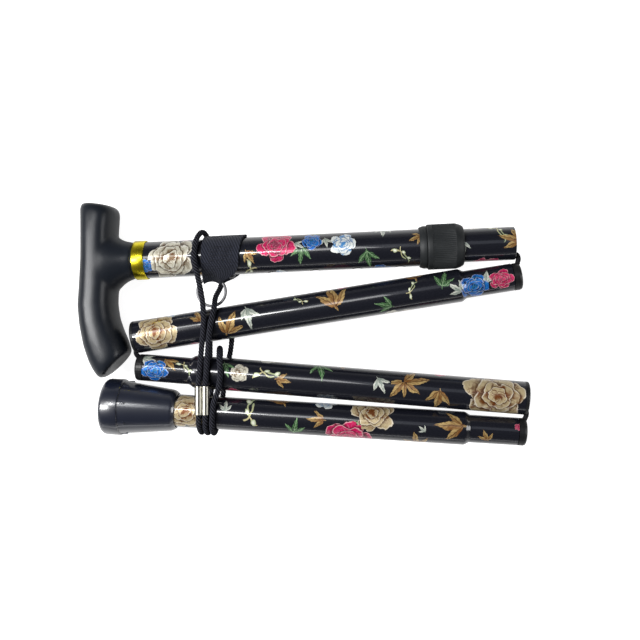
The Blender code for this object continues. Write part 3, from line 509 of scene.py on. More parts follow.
class Graph:
    """A material's or the world's nodes, with short ways to add those that the finishes need."""

    def __init__(self, owner: str | bpy.types.World, shader: str = "Principled BSDF") -> None:
        """Starts on the world's nodes, or on those of a new material.

        Args:
            owner: The world, or the new material's name.
            shader: The name of the node that makes the look.
        """
        self.owner = bpy.data.materials.new(owner) if isinstance(owner, str) else owner
        self.owner.use_nodes = True
        self.tree = self.owner.node_tree
        self.shader = self.tree.nodes[shader]

    def node(self, kind: str, inputs: dict[int | str, Value] | None = None, **settings: object) -> Node:
        """Adds a node.

        Args:
            kind: The node's type.
            inputs: Its inputs by name or index, each a socket to link or a value to set.
            settings: Its other settings by name.

        Returns:
            The node.
        """
        item = self.tree.nodes.new(kind)
        for name, value in settings.items():
            setattr(item, name, value)
        for name, value in (inputs or {}).items():
            self.feed(item.inputs[name], value)
        return item

    def feed(self, target: Socket, value: Value) -> None:
        """Links a socket to an input, or sets the input's value.

        Args:
            target: The input.
            value: The socket to link, or the value to set.
        """
        if isinstance(value, Socket):
            self.tree.links.new(value, target)
        elif isinstance(value, tuple) and target.type == "RGBA" and len(value) == 3:
            target.default_value = (*value, 1.0)
        else:
            target.default_value = value

    def finish(self, **inputs: Value) -> Material:
        """Sets the shader's inputs.

        Args:
            inputs: The inputs by name, with underscores for spaces.

        Returns:
            The nodes' owner.
        """
        for name, value in inputs.items():
            self.feed(self.shader.inputs[name.replace("_", " ")], value)
        return self.owner

    def math(self, operation: str, *values: Value, clamp: bool = False) -> Socket:
        """A Math node's result."""
        inputs = dict(enumerate(values))
        return self.node("ShaderNodeMath", inputs, operation=operation, use_clamp=clamp).outputs[0]

    def total(self, *values: Value) -> Socket:
        """The sum of several values."""
        return reduce(lambda result, value: self.math("ADD", result, value), values)

    def product(self, *values: Value) -> Socket:
        """The product of several values."""
        return reduce(lambda result, value: self.math("MULTIPLY", result, value), values)

    def vector(self, operation: str, *values: Value) -> Socket:
        """A Vector Math node's vector."""
        return self.node("ShaderNodeVectorMath", dict(enumerate(values)), operation=operation).outputs[0]

    def linear(self, value: Value, factor: Value, rest: Value) -> Socket:
        """A value times a factor, plus the rest."""
        return self.math("MULTIPLY_ADD", value, factor, rest)

    def length(self, x: Value, y: Value) -> Socket:
        """The length of a line from nought to a point."""
        return self.math("SQRT", self.linear(x, x, self.product(y, y)))

    def span(
        self, value: Value, low: Value, high: Value, to_low: float = 0.0, to_high: float = 1.0
    ) -> Socket:
        """A value's smooth rise between two limits."""
        inputs = {"Value": value, "From Min": low, "From Max": high, "To Min": to_low, "To Max": to_high}
        return self.node("ShaderNodeMapRange", inputs, interpolation_type="SMOOTHSTEP").outputs[0]

    def mix(self, share: Value, first: Value, second: Value) -> Socket:
        """A colour between two, from the first at 0 to the second at 1."""
        return self.node("ShaderNodeMix", {0: share, 6: first, 7: second}, data_type="RGBA").outputs[2]

    def noise(self, vector: Socket, scale: float, detail: float = 2.0, rough: float = 0.5) -> Node:
        """A Noise node over a vector."""
        inputs = {"Vector": vector, "Scale": scale, "Detail": detail, "Roughness": rough}
        return self.node("ShaderNodeTexNoise", inputs)

    def place(self) -> Socket:
        """The point on the object, in metres."""
        return self.node("ShaderNodeTexCoord").outputs["Object"]

    def uv(self) -> Socket:
        """The piece's own map of around and along."""
        return self.node("ShaderNodeUVMap", uv_map=MAP).outputs[0]

    def parts(self, vector: Socket) -> list[Socket]:
        """A vector's three numbers."""
        return list(self.node("ShaderNodeSeparateXYZ", {0: vector}).outputs)

    def bump(self, height: Socket, strength: float, distance: float) -> Socket:
        """A bumped normal from a height."""
        inputs = {"Height": height, "Strength": strength, "Distance": distance}
        return self.node("ShaderNodeBump", inputs).outputs[0]


@dataclass(frozen=True)
class Moulding:
    """A moulded plastic or rubber with a fine grain, a soft bloom and a few rubbed places."""

    colour: Colour
    rubbed: Colour
    roughness: float
    grain: float = 0.25 * MM
    grain_depth: float = 0.02 * MM
    clouds: float = 60.0  # for each metre
    shine: float = 0.30
    relief: float = 0.12
    coat: float = 0.0
    coat_roughness: float = 0.17
    coat_index: float = 1.75  # of refraction

    def material(self, name: str) -> Material:
        """Builds the material.

        Args:
            name: The material's name.

        Returns:
            The material, whose pattern follows the object's place.
        """
        graph = Graph(name)
        place = graph.place()
        broad = graph.noise(place, self.clouds, 3.0).outputs[0]
        fine = graph.noise(place, 1.0 / self.grain, 3.0, 0.6).outputs[0]
        worn = graph.span(broad, 0.5, 0.78, 0.0, 0.6)
        speckle = graph.span(fine, 0.35, 0.75, 0.0, 0.35)
        colour = graph.mix(graph.math("ADD", worn, speckle, clamp=True), self.colour, self.rubbed)
        rough = graph.total(self.roughness - 0.06, graph.product(broad, 0.08), graph.product(fine, 0.05))
        return graph.finish(
            Base_Color=colour,
            Roughness=rough,
            Normal=graph.bump(fine, self.relief, self.grain_depth),
            Specular_IOR_Level=self.shine,
            Coat_Weight=self.coat,
            Coat_Roughness=self.coat_roughness,
            Coat_IOR=self.coat_index,
        )


@dataclass(frozen=True)
class BrightMetal:
    """A plated or anodised metal with fine turning marks."""

    colour: Colour
    dull: Colour
    roughness: float
    marks: float = 0.12 * MM  # between turning marks
    wander: float = 40.0  # of the marks round the piece, for each metre
    clouds: float = 220.0  # for each metre

    def material(self, name: str) -> Material:
        """Builds the material.

        Args:
            name: The material's name.

        Returns:
            The material, whose marks run round the X axis of the object's place.
        """
        graph = Graph(name)
        place = graph.place()
        drawn = graph.vector("MULTIPLY", place, (1.0 / self.marks, self.wander, self.wander))
        lines = graph.noise(drawn, 1.0, 2.0).outputs[0]
        cloud = graph.noise(place, self.clouds, 3.0).outputs[0]
        colour = graph.mix(graph.span(cloud, 0.42, 0.75, 0.0, 0.3), self.colour, self.dull)
        rough = graph.total(self.roughness - 0.03, graph.product(lines, 0.03), graph.product(cloud, 0.03))
        return graph.finish(Base_Color=colour, Metallic=1.0, Roughness=rough)


@dataclass(frozen=True)
class TwillWebbing:
    """Woven webbing: slanting ribs of yarn, with single yarns across them, and painted shade that darkens
    the grooves between the ribs.
    """

    # colour shows in the weave's grooves, where it is darkened as painted shade; light shows on the ribs'
    # crests
    colour: Colour
    light: Colour
    rib: float = 1.45 * MM
    yarn: float = 0.34 * MM
    slant: float = 0.55  # along for each metre around
    drift: float = 0.35 * MM  # of the ribs from their lines
    depth: float = 0.16 * MM

    def material(self, name: str) -> Material:
        """Builds the material.

        Args:
            name: The material's name.

        Returns:
            The material, whose weave follows the band's own map.
        """
        graph = Graph(name)
        around, along, _ = graph.parts(graph.uv())
        drift = graph.noise(graph.uv(), 260.0, 2.0).outputs[0]
        line = graph.total(along, graph.product(around, self.slant), graph.product(drift, self.drift))
        rib = graph.math("SINE", graph.product(line, TAU / self.rib))
        yarn = graph.math("SINE", graph.product(graph.math("SUBTRACT", around, along), TAU / self.yarn))
        height = graph.total(graph.product(rib, 0.5), graph.product(yarn, 0.22))
        fuzz = graph.noise(graph.uv(), 5200.0, 2.0).outputs[0]
        # Darker where the weave is low: painted shade in the grooves between ribs and yarns, taken from the
        # same height as the bump; the fuzz adds the fibres' own speckle.
        share = graph.total(graph.span(height, -0.3, 0.6, 0.0, 0.75), graph.product(fuzz, 0.3))
        return graph.finish(
            Base_Color=graph.mix(share, self.colour, self.light),
            Roughness=0.82,
            Sheen_Weight=0.06,
            Sheen_Roughness=0.5,
            Specular_IOR_Level=0.08,
            Normal=graph.bump(graph.total(height, graph.product(fuzz, 0.4)), 0.7, self.depth),
        )


@dataclass(frozen=True)
class BraidYarn:
    """The yarn of a braided cord, finer than the strands that its mesh has, with painted shade that darkens
    the grooves between the strands.
    """

    # colour shows in the grooves between the strands, where it is darkened as painted shade; light shows on
    # the strands' crests
    colour: Colour
    light: Colour
    strands: int = 8
    pitch: float = 14.0 * MM
    counter: float = 1.0  # strength of the strands wound the other way
    yarns: int = 5  # to a strand
    depth: float = 0.10 * MM

    def material(self, name: str) -> Material:
        """Builds the material.

        Args:
            name: The material's name.

        Returns:
            The material, whose strands and yarns follow the cord's own map.
        """
        graph = Graph(name)
        turns, along, _ = graph.parts(graph.uv())
        climb = graph.product(along, 1 / self.pitch)
        ways = (graph.math("ADD", turns, climb), graph.math("SUBTRACT", turns, climb))
        first, second = (graph.math("COSINE", graph.product(way, TAU * self.strands)) for way in ways)
        strand = graph.math("MAXIMUM", first, graph.product(second, self.counter))
        count = TAU * self.yarns * self.strands
        yarn = graph.math("MAXIMUM", *(graph.math("SINE", graph.product(way, count)) for way in ways))
        fuzz = graph.noise(graph.place(), 4200.0, 2.0).outputs[0]
        # The strands' crests keep the light colour and the grooves between them get painted shade; the
        # yarns' lines darken their own grooves too, and the fuzz adds the yarn's own speckle.
        unshaded_crest = graph.span(strand, 0.0, 1.0)
        share = graph.product(unshaded_crest, graph.total(0.35, graph.product(yarn, 0.25), graph.product(fuzz, 0.6)))
        return graph.finish(
            Base_Color=graph.mix(graph.math("ADD", share, 0.0, clamp=True), self.colour, self.light),
            Roughness=0.7,
            Specular_IOR_Level=0.06,
            Normal=graph.bump(graph.total(strand, graph.product(yarn, 0.2), fuzz), 0.8, self.depth),
        )


class Layer(Enum):
    """The layers of the print, from the lowest to the topmost."""

    STEM = "stem"
    LEAF = "leaf"
    BLOOM = "bloom"


@dataclass(frozen=True)
class Ink:
    """The layer and the colours of one kind of motif."""

    layer: Layer
    deep: Colour
    pale: Colour
    stroke: Colour


class Motif(Enum):
    """The kinds of motif in the tubes' print."""

    ROSE = Ink(Layer.BLOOM, (0.120, 0.083, 0.040), (0.49, 0.47, 0.38), (0.090, 0.023, 0.005))
    GOLD_ROSE = Ink(Layer.BLOOM, (0.135, 0.044, 0.007), (0.41, 0.33, 0.19), (0.080, 0.012, 0.002))
    PEONY = Ink(Layer.BLOOM, (0.125, 0.0004, 0.018), (0.46, 0.006, 0.080), (0.48, 0.14, 0.22))
    BLUE_BLOOM = Ink(Layer.BLOOM, (0.0004, 0.005, 0.055), (0.002, 0.090, 0.38), (0.045, 0.27, 0.46))
    DAISY = Ink(Layer.BLOOM, (0.055, 0.22, 0.46), (0.60, 0.63, 0.60), (0.03, 0.12, 0.35))
    GOLD_LEAF = Ink(Layer.LEAF, (0.145, 0.050, 0.008), (0.41, 0.29, 0.115), (0.050, 0.013, 0.003))
    WHITE_LEAF = Ink(Layer.LEAF, (0.19, 0.23, 0.20), (0.58, 0.59, 0.52), (0.10, 0.13, 0.11))
    GREEN_SPRIG = Ink(Layer.LEAF, (0.006, 0.030, 0.010), (0.045, 0.125, 0.040), (0.24, 0.36, 0.20))
    TENDRIL = Ink(Layer.STEM, (0.46, 0.38, 0.20), (0.30, 0.36, 0.20), (0.78, 0.78, 0.66))


@dataclass(frozen=True)
class Spot:
    """Where one motif stands on a tube."""

    kind: Motif
    along: float  # millimetres from the section's start
    around: float  # degrees from the side that faces up, towards the section's left
    size: float  # half the motif's width, millimetres
    turn: float = 0.0  # degrees
    stretch: float = 1.0  # half the motif's length along the tube, over half its width


@dataclass(frozen=True)
class PetalRing:
    """One ring of a bloom's petals, in shares of the bloom's radius."""

    petals: int
    middle: float  # from the bloom's heart to the petals' middle
    length: float  # half a petal's length
    width: float  # half a petal's width


@dataclass(frozen=True)
class Leaf:
    """One pointed leaf of a spray, in shares of the spray's radius."""

    x: float
    y: float
    turn: float  # degrees
    length: float
    width: float


@dataclass(frozen=True)
class Stem:
    """One curved stem of a tendril, in shares of the tendril's radius."""

    x: float  # the middle of its curve
    y: float
    radius: float
    low: float  # its lower and upper end, in y
    high: float


@dataclass(frozen=True)
class Bud:
    """One bud of a tendril, in shares of the tendril's radius."""

    x: float
    y: float
    radius: float


@dataclass(frozen=True)
class FloralPrint:
    """A glossy black lacquer over a scattered print of flowers and leaves."""

    ground: Colour = (0.0045, 0.0050, 0.0085)
    dusty: Colour = (0.0075, 0.0080, 0.0125)
    petal_edge: Colour = (0.86, 0.84, 0.78)
    bloom_waver: float = 0.42  # how far the hand strays, in shares of a motif's radius
    leaf_waver: float = 0.30
    stem_waver: float = 0.24
    outward: float = 0.7  # least share of a printed face's direction that points away from the axis
    rings: tuple[PetalRing, ...] = (
        PetalRing(5, 0.62, 0.40, 0.44),
        PetalRing(5, 0.42, 0.34, 0.36),
        PetalRing(4, 0.27, 0.25, 0.30),
        PetalRing(3, 0.13, 0.18, 0.20),
    )
    leaves: tuple[Leaf, ...] = (
        Leaf(0.00, -0.80, 46.0, 1.30, 0.44),
        Leaf(-0.02, -0.78, 132.0, 1.25, 0.40),
        Leaf(0.00, -0.75, 88.0, 1.62, 0.48),
        Leaf(0.02, -0.72, 262.0, 0.36, 0.10),
    )
    stems: tuple[Stem, ...] = (Stem(-0.9, -0.3, 1.25, -0.9, 0.85), Stem(0.75, 0.65, 0.9, -0.55, 0.5))
    buds: tuple[Bud, ...] = (Bud(0.30, -0.62, 0.16), Bud(0.02, 0.72, 0.14), Bud(0.36, 0.10, 0.12))

    def write(self, piece: Object, section: Section, radius: float, spots: tuple[Spot, ...]) -> None:
        """Writes into a tube's mesh which motif of each layer is nearest to each face, and where.

        Args:
            piece: The tube, in its place and with its map.
            section: The section that it belongs to.
            radius: The radius at which its map is measured.
            spots: Its motifs.
        """
        mesh = piece.data
        flat = np.empty(len(mesh.loops) * 2)
        mesh.uv_layers[MAP].data.foreach_get("uv", flat)
        flat = flat.reshape(-1, 2)
        totals = np.array([len(face.vertices) for face in mesh.polygons])
        faces = np.repeat(np.arange(len(totals)), totals)
        middles = np.column_stack([np.bincount(faces, flat[:, axis]) / totals for axis in (0, 1)])
        back = section.matrix().inverted()
        printed = np.array([self.faces_out(back, face) for face in mesh.polygons])[faces]
        turns = (0.0, -360.0, 360.0)  # so that a motif may lie over the map's seam
        for layer in Layer:
            ours = [(number, spot) for number, spot in enumerate(spots) if spot.kind.value.layer is layer]
            placed = [(number, spot, turn) for turn in turns for number, spot in ours]
            values = {name: np.zeros((len(flat), 3)) for name in ("place", "deep", "pale", "stroke")}
            values["place"][:] = (9.0, 9.0, 0.0)  # far outside any motif
            if placed:
                far = [np.hypot(*self.local(middles, spot, turn, radius).T) for _, spot, turn in placed]
                nearest = np.argmin(far, axis=0)[faces]
                for choice, (number, spot, turn) in enumerate(placed):
                    chosen = (nearest == choice) & printed
                    values["place"][chosen, :2] = self.local(flat[chosen], spot, turn, radius)
                    values["place"][chosen, 2] = number
                    for name in ("deep", "pale", "stroke"):
                        values[name][chosen] = getattr(spot.kind.value, name)
            for name, table in values.items():
                written = mesh.attributes.new(f"{layer.value}_{name}", "FLOAT_VECTOR", "CORNER")
                written.data.foreach_set("vector", table.ravel())

    def faces_out(self, back: Matrix, face: bpy.types.MeshPolygon) -> bool:
        """Whether a face belongs to the tube's printed outside."""
        centre, way = back @ face.center, back.to_3x3() @ face.normal
        return centre.x * way.x + centre.y * way.y > self.outward * math.hypot(centre.x, centre.y)

    def local(self, flat: np.ndarray, spot: Spot, turn: float, radius: float) -> np.ndarray:
        """Measures points of the map from a motif, which is 2 wide and 2 long in its own measure.

        Args:
            flat: The points, one to a row.
            spot: The motif.
            turn: Degrees by which the motif is moved round the tube.
            radius: The radius at which the map is measured.

        Returns:
            The points in the motif's own measure, one to a row.
        """
        around = flat[:, 0] - math.radians(spot.around + turn) * radius
        along = flat[:, 1] - spot.along * MM
        cosine, sine = math.cos(math.radians(spot.turn)), math.sin(math.radians(spot.turn))
        x = (around * cosine + along * sine) / (spot.size * MM)
        y = (along * cosine - around * sine) / (spot.size * spot.stretch * MM)
        return np.column_stack([x, y])

    def found(self, graph: Graph, layer: Layer, name: str) -> Node:
        """The node that reads what write() put into the mesh for a layer."""
        return graph.node("ShaderNodeAttribute", attribute_name=f"{layer.value}_{name}")

    def inks(self, graph: Graph, layer: Layer) -> list[Socket]:
        """The deep, the pale and the stroke's colour of a layer's nearest motif."""
        return [self.found(graph, layer, name).outputs["Color"] for name in ("deep", "pale", "stroke")]

    def place(self, graph: Graph, layer: Layer, waver: float) -> tuple[Socket, Socket, Socket, Socket]:
        """Where a point lies in a layer's nearest motif, as a wavering hand would have it.

        Args:
            graph: The material's graph.
            layer: The layer.
            waver: How far the hand strays, in the motif's own measure.

        Returns:
            The point's two numbers in the motif's own measure, the motif's number, and a cloud.
        """
        found = self.found(graph, layer, "place").outputs
        x, y, number = graph.parts(found["Color"])
        stray = graph.noise(found["Vector"], 2.3, 2.5).outputs[1]
        shifts = graph.node("ShaderNodeSeparateColor", {0: stray}).outputs
        cloud = graph.noise(found["Vector"], 3.7, 3.0).outputs[0]
        x = graph.linear(shifts[0], waver, graph.math("SUBTRACT", x, waver / 2))
        y = graph.linear(shifts[1], waver, graph.math("SUBTRACT", y, waver / 2))
        return x, y, number, cloud

    def bloom(self, graph: Graph) -> tuple[Socket, Socket]:
        """A flower painted ring by ring, each petal with its own tone, strokes and pale edge.

        Args:
            graph: The material's graph.

        Returns:
            The flower's coverage and colour.
        """
        x, y, number, cloud = self.place(graph, Layer.BLOOM, self.bloom_waver)
        deep, pale, stroke = self.inks(graph, Layer.BLOOM)
        shadow = graph.mix(0.70, deep, (0.0, 0.0, 0.0))
        edge = graph.mix(0.5, pale, self.petal_edge)
        distance = graph.length(x, y)
        angle = graph.linear(number, 0.83, graph.math("ARCTAN2", y, x))
        cover: Value = 0.0
        colour: Value = shadow
        for level, ring in enumerate(self.rings):
            sector = TAU / ring.petals
            cell = graph.linear(angle, 1.0 / sector, 0.9 * level / sector)
            index = graph.math("FLOORED_MODULO", graph.math("FLOOR", cell), float(ring.petals))
            folded = graph.linear(graph.math("FRACT", cell), sector, -sector / 2)
            word = graph.math("ROUND", graph.linear(number, 50.0, graph.math("ADD", index, 10.0 * level)))
            chance = graph.node("ShaderNodeTexWhiteNoise", {"W": word}, noise_dimensions="1D").outputs[0]
            reach = graph.linear(chance, 0.22 * ring.length, 0.88 * ring.length)
            out = graph.linear(distance, graph.math("COSINE", folded), -ring.middle)
            out = graph.math("DIVIDE", out, reach)
            aside = graph.product(distance, graph.math("SINE", folded), 1.0 / ring.width)
            inside = graph.math("SUBTRACT", 1.0, graph.length(out, aside))
            tone = graph.linear(chance, 0.5, graph.linear(cloud, 2.2, -1.35))
            tone = graph.span(graph.math("ADD", tone, graph.span(out, -0.8, 0.9)), 0.2, 0.85)
            lines = graph.math("SINE", graph.linear(folded, 11.0, graph.product(cloud, 34.0)))
            drawn = graph.product(graph.span(lines, 0.30, 0.90), graph.span(out, 1.0, -0.2, 0.0, 0.95))
            petal = graph.mix(drawn, graph.mix(tone, deep, pale), stroke)
            rim = graph.span(graph.math("ABSOLUTE", graph.math("SUBTRACT", inside, 0.07)), 0.085, 0.02)
            petal = graph.mix(graph.product(rim, graph.span(cloud, 0.32, 0.5, 0.0, 0.75)), petal, edge)
            colour = graph.mix(graph.span(inside, -0.30, 0.0, 0.0, 0.75), colour, shadow)
            mask = graph.span(inside, 0.0, 0.06)
            colour = graph.mix(mask, colour, petal)
            cover = graph.math("MAXIMUM", cover, mask)
        return cover, colour

    def spray(self, graph: Graph) -> tuple[Socket, Socket]:
        """A spray of pointed leaves, each with a rib, side veins and a pale half.

        Args:
            graph: The material's graph.

        Returns:
            The spray's coverage and colour.
        """
        x, y, _, cloud = self.place(graph, Layer.LEAF, self.leaf_waver)
        dark, pale, rib = self.inks(graph, Layer.LEAF)
        cover: Value = 0.0
        colour: Value = dark
        for leaf in self.leaves:
            turn = math.radians(leaf.turn)
            ahead = (math.cos(turn) / leaf.length, math.sin(turn) / leaf.length)
            across = (-math.sin(turn) / leaf.width, math.cos(turn) / leaf.width)
            numbers = []
            for share_x, share_y in (ahead, across):
                rest = -share_x * leaf.x - share_y * leaf.y
                numbers.append(graph.linear(x, share_x, graph.linear(y, share_y, rest)))
            along, aside = numbers
            rise = graph.math("POWER", graph.math("MAXIMUM", along, 0.0), 0.75)
            swell = graph.math("SINE", graph.product(rise, math.pi))
            off = graph.math("ABSOLUTE", aside)
            within = graph.linear(swell, 0.5, graph.product(off, -1.0))
            ends = (graph.span(along, 0.0, 0.02), graph.span(along, 1.0, 0.98))
            mask = graph.product(graph.span(within, 0.0, 0.06), *ends)
            half = graph.span(aside, -0.25, 0.3, 0.0, 0.5)
            light = graph.total(half, graph.span(along, 0.1, 0.9, -0.2, 0.4), cloud, -0.2)
            veins = graph.math("SINE", graph.linear(off, 16.0, graph.product(along, -30.0)))
            marks = graph.math("MAXIMUM", graph.span(off, 0.07, 0.02), graph.span(veins, 0.5, 1.0, 0.0, 0.5))
            leafy = graph.mix(marks, graph.mix(graph.math("ADD", light, 0.0, clamp=True), dark, pale), rib)
            colour = graph.mix(mask, colour, leafy)
            cover = graph.math("MAXIMUM", cover, mask)
        return cover, colour

    def tendril(self, graph: Graph) -> tuple[Socket, Socket]:
        """Two thin curved stems with a few pale buds.

        Args:
            graph: The material's graph.

        Returns:
            The stems' coverage and colour.
        """
        x, y, _, _ = self.place(graph, Layer.STEM, self.stem_waver)
        deep, pale, bud = self.inks(graph, Layer.STEM)
        cover: Value = 0.0
        for stem in self.stems:
            reach = graph.length(graph.math("SUBTRACT", x, stem.x), graph.math("SUBTRACT", y, stem.y))
            off = graph.math("ABSOLUTE", graph.math("SUBTRACT", reach, stem.radius))
            side = graph.math("GREATER_THAN" if stem.x < 0 else "LESS_THAN", x, stem.x)
            above, below = graph.math("GREATER_THAN", y, stem.low), graph.math("LESS_THAN", y, stem.high)
            drawn = graph.product(graph.span(off, 0.060, 0.025), side, graph.product(above, below))
            cover = graph.math("MAXIMUM", cover, drawn)
        colour = graph.mix(graph.span(y, -0.8, 0.8), deep, pale)
        for shape in self.buds:
            flat = 0.62  # a bud is longer than it is wide
            reach = graph.length(graph.math("SUBTRACT", x, shape.x), graph.linear(y, flat, -flat * shape.y))
            mask = graph.span(reach, shape.radius, 0.8 * shape.radius)
            colour = graph.mix(mask, colour, graph.mix(graph.span(reach, 0.0, shape.radius), bud, pale))
            cover = graph.math("MAXIMUM", cover, mask)
        return cover, colour

    def material(self, name: str) -> Material:
        """Builds the material, which every tube shares.

        Args:
            name: The material's name.

        Returns:
            The material, whose print follows what write() puts into each tube's mesh.
        """
        graph = Graph(name)
        dust = graph.noise(graph.uv(), 900.0, 3.0).outputs[0]
        colour: Value = graph.mix(graph.span(dust, 0.3, 0.8), self.ground, self.dusty)
        printed: Value = 0.0
        for cover, ink in (self.tendril(graph), self.spray(graph), self.bloom(graph)):
            colour = graph.mix(cover, colour, ink)
            printed = graph.math("MAXIMUM", printed, cover)
        wave = graph.noise(graph.uv(), 130.0, 2.0).outputs[0]
        return graph.finish(
            Base_Color=colour,
            Metallic=graph.product(printed, 0.30),
            Roughness=graph.total(0.22, graph.product(printed, 0.16), graph.product(dust, 0.05)),
            Specular_IOR_Level=0.25,
            Coat_Weight=1.0,
            Coat_Roughness=0.03,
            Normal=graph.bump(wave, 0.12, 0.03 * MM),
        )


# The motifs of each tube

UPPER_SPOTS = (
    Spot(Motif.ROSE, 24.3, -2.0, 17.2, 20.0, 0.78),
    Spot(Motif.BLUE_BLOOM, 9.5, -24.0, 4.2),
    Spot(Motif.GOLD_LEAF, 71.7, -12.0, 5.5, 60.0),
    Spot(Motif.PEONY, 87.3, 26.0, 10.6, 0.0, 1.05),
    Spot(Motif.GREEN_SPRIG, 101.5, -14.0, 7.0, 100.0),
    Spot(Motif.WHITE_LEAF, 101.0, 18.0, 4.2, 30.0),
    Spot(Motif.BLUE_BLOOM, 108.5, 34.0, 6.2),
    Spot(Motif.WHITE_LEAF, 116.7, 23.0, 4.0, 80.0),
    Spot(Motif.DAISY, 126.6, 19.0, 7.6),
    Spot(Motif.GREEN_SPRIG, 141.0, -38.0, 7.5, 80.0),
    Spot(Motif.WHITE_LEAF, 150.0, 62.0, 6.0, 95.0),
    Spot(Motif.GOLD_LEAF, 168.5, 26.0, 5.0, 160.0),
    Spot(Motif.TENDRIL, 160.0, -28.0, 7.0, 20.0),
    Spot(Motif.ROSE, 58.0, 168.0, 13.0, 40.0),
    Spot(Motif.PEONY, 33.0, 118.0, 9.5, 30.0),
    Spot(Motif.BLUE_BLOOM, 20.0, -118.0, 8.0, 10.0),
    Spot(Motif.GOLD_LEAF, 44.0, -100.0, 11.0, 95.0),
    Spot(Motif.GOLD_LEAF, 84.0, 118.0, 11.0, 60.0),
    Spot(Motif.ROSE, 112.0, -142.0, 13.5, 70.0),
    Spot(Motif.DAISY, 88.0, -100.0, 7.0, 15.0),
    Spot(Motif.PEONY, 140.0, 142.0, 11.0, 75.0),
    Spot(Motif.GREEN_SPRIG, 112.0, 100.0, 9.0, -40.0),
    Spot(Motif.BLUE_BLOOM, 148.0, -100.0, 8.0),
    Spot(Motif.TENDRIL, 68.0, -60.0, 9.0, 90.0),
    Spot(Motif.GREEN_SPRIG, 160.0, 100.0, 8.0, 120.0),
)
TUBE_1_SPOTS = (
    Spot(Motif.WHITE_LEAF, 196.5, -14.0, 4.6, 85.0),
    Spot(Motif.GOLD_LEAF, 222.5, 16.0, 8.0, 200.0),
    Spot(Motif.TENDRIL, 216.0, 40.0, 8.0, 30.0),
    Spot(Motif.ROSE, 205.0, 130.0, 11.0, 10.0),
    Spot(Motif.PEONY, 210.0, -112.0, 10.0, 50.0),
    Spot(Motif.ROSE, 90.0, 0.0, 12.0),
    Spot(Motif.PEONY, 130.0, 120.0, 10.0),
    Spot(Motif.BLUE_BLOOM, 160.0, -90.0, 8.0),
    Spot(Motif.GOLD_LEAF, 175.0, 60.0, 12.0, 100.0),
    Spot(Motif.GREEN_SPRIG, 188.0, -30.0, 8.0, 60.0),
)
TUBE_2_SPOTS = (
    Spot(Motif.PEONY, 12.5, 4.0, 7.4, 20.0),
    Spot(Motif.BLUE_BLOOM, 28.5, 16.0, 9.0),
    Spot(Motif.WHITE_LEAF, 20.5, -20.0, 6.0, 100.0),
    Spot(Motif.WHITE_LEAF, 39.5, 6.0, 6.0, 40.0),
    Spot(Motif.GREEN_SPRIG, 45.0, -34.0, 7.0, 110.0),
    Spot(Motif.TENDRIL, 63.7, -8.0, 6.0, 95.0),
    Spot(Motif.GREEN_SPRIG, 82.3, 26.0, 6.5, 20.0),
    Spot(Motif.GOLD_LEAF, 111.0, -46.0, 11.0, 80.0),
    Spot(Motif.TENDRIL, 129.5, -42.0, 5.0, 10.0),
    Spot(Motif.WHITE_LEAF, 162.0, 0.0, 8.5, 262.0),
    Spot(Motif.GOLD_LEAF, 172.5, 4.0, 9.5, 120.0),
    Spot(Motif.GOLD_LEAF, 192.0, -46.0, 6.0, 70.0),
    Spot(Motif.GOLD_ROSE, 218.3, -6.0, 13.2, 30.0),
    Spot(Motif.ROSE, 74.0, 132.0, 13.0, 15.0),
    Spot(Motif.PEONY, 106.0, -132.0, 11.0, 40.0),
    Spot(Motif.BLUE_BLOOM, 136.0, 118.0, 8.5, 60.0),
    Spot(Motif.GOLD_ROSE, 165.0, -150.0, 13.0, 80.0),
    Spot(Motif.GOLD_LEAF, 62.0, -112.0, 12.0, 85.0),
    Spot(Motif.PEONY, 198.0, 128.0, 10.5, 10.0),
    Spot(Motif.DAISY, 208.0, -100.0, 7.0, 20.0),
    Spot(Motif.GREEN_SPRIG, 172.0, 98.0, 9.0, 70.0),
    Spot(Motif.BLUE_BLOOM, 20.0, 172.0, 8.0, 15.0),
)
TUBE_3_SPOTS = (
    Spot(Motif.BLUE_BLOOM, 12.6, -4.0, 8.6),
    Spot(Motif.WHITE_LEAF, 9.0, 42.0, 6.0, 20.0),
    Spot(Motif.GOLD_LEAF, 22.0, 24.0, 6.5, 50.0),
    Spot(Motif.TENDRIL, 30.0, 14.0, 6.5, 20.0),
    Spot(Motif.ROSE, 64.0, 12.0, 5.6),
    Spot(Motif.GREEN_SPRIG, 56.0, 20.0, 6.0, 70.0),
    Spot(Motif.TENDRIL, 80.5, 6.0, 9.0, -20.0),
    Spot(Motif.GOLD_LEAF, 91.0, -4.0, 5.5, 10.0),
    Spot(Motif.GREEN_SPRIG, 112.0, 44.0, 8.0, 80.0),
    Spot(Motif.WHITE_LEAF, 148.0, 6.0, 6.4, 60.0),
    Spot(Motif.GOLD_LEAF, 157.0, 0.0, 7.8, 130.0),
    Spot(Motif.GOLD_LEAF, 168.5, 32.0, 9.6, -10.0),
    Spot(Motif.GOLD_LEAF, 181.0, -34.0, 8.6, 100.0),
    Spot(Motif.GOLD_ROSE, 214.7, 6.0, 17.0, 10.0, 1.12),
    Spot(Motif.ROSE, 84.0, 140.0, 13.0, 45.0),
    Spot(Motif.PEONY, 60.0, -116.0, 11.0, 30.0),
    Spot(Motif.BLUE_BLOOM, 110.0, -124.0, 8.5, 5.0),
    Spot(Motif.GOLD_ROSE, 150.0, -148.0, 13.0, 35.0),
    Spot(Motif.GOLD_LEAF, 122.0, 118.0, 12.0, 75.0),
    Spot(Motif.PEONY, 184.0, 132.0, 10.5, 55.0),
    Spot(Motif.DAISY, 186.0, -104.0, 7.0, 40.0),
    Spot(Motif.PEONY, 20.0, 150.0, 7.0, 40.0),
)
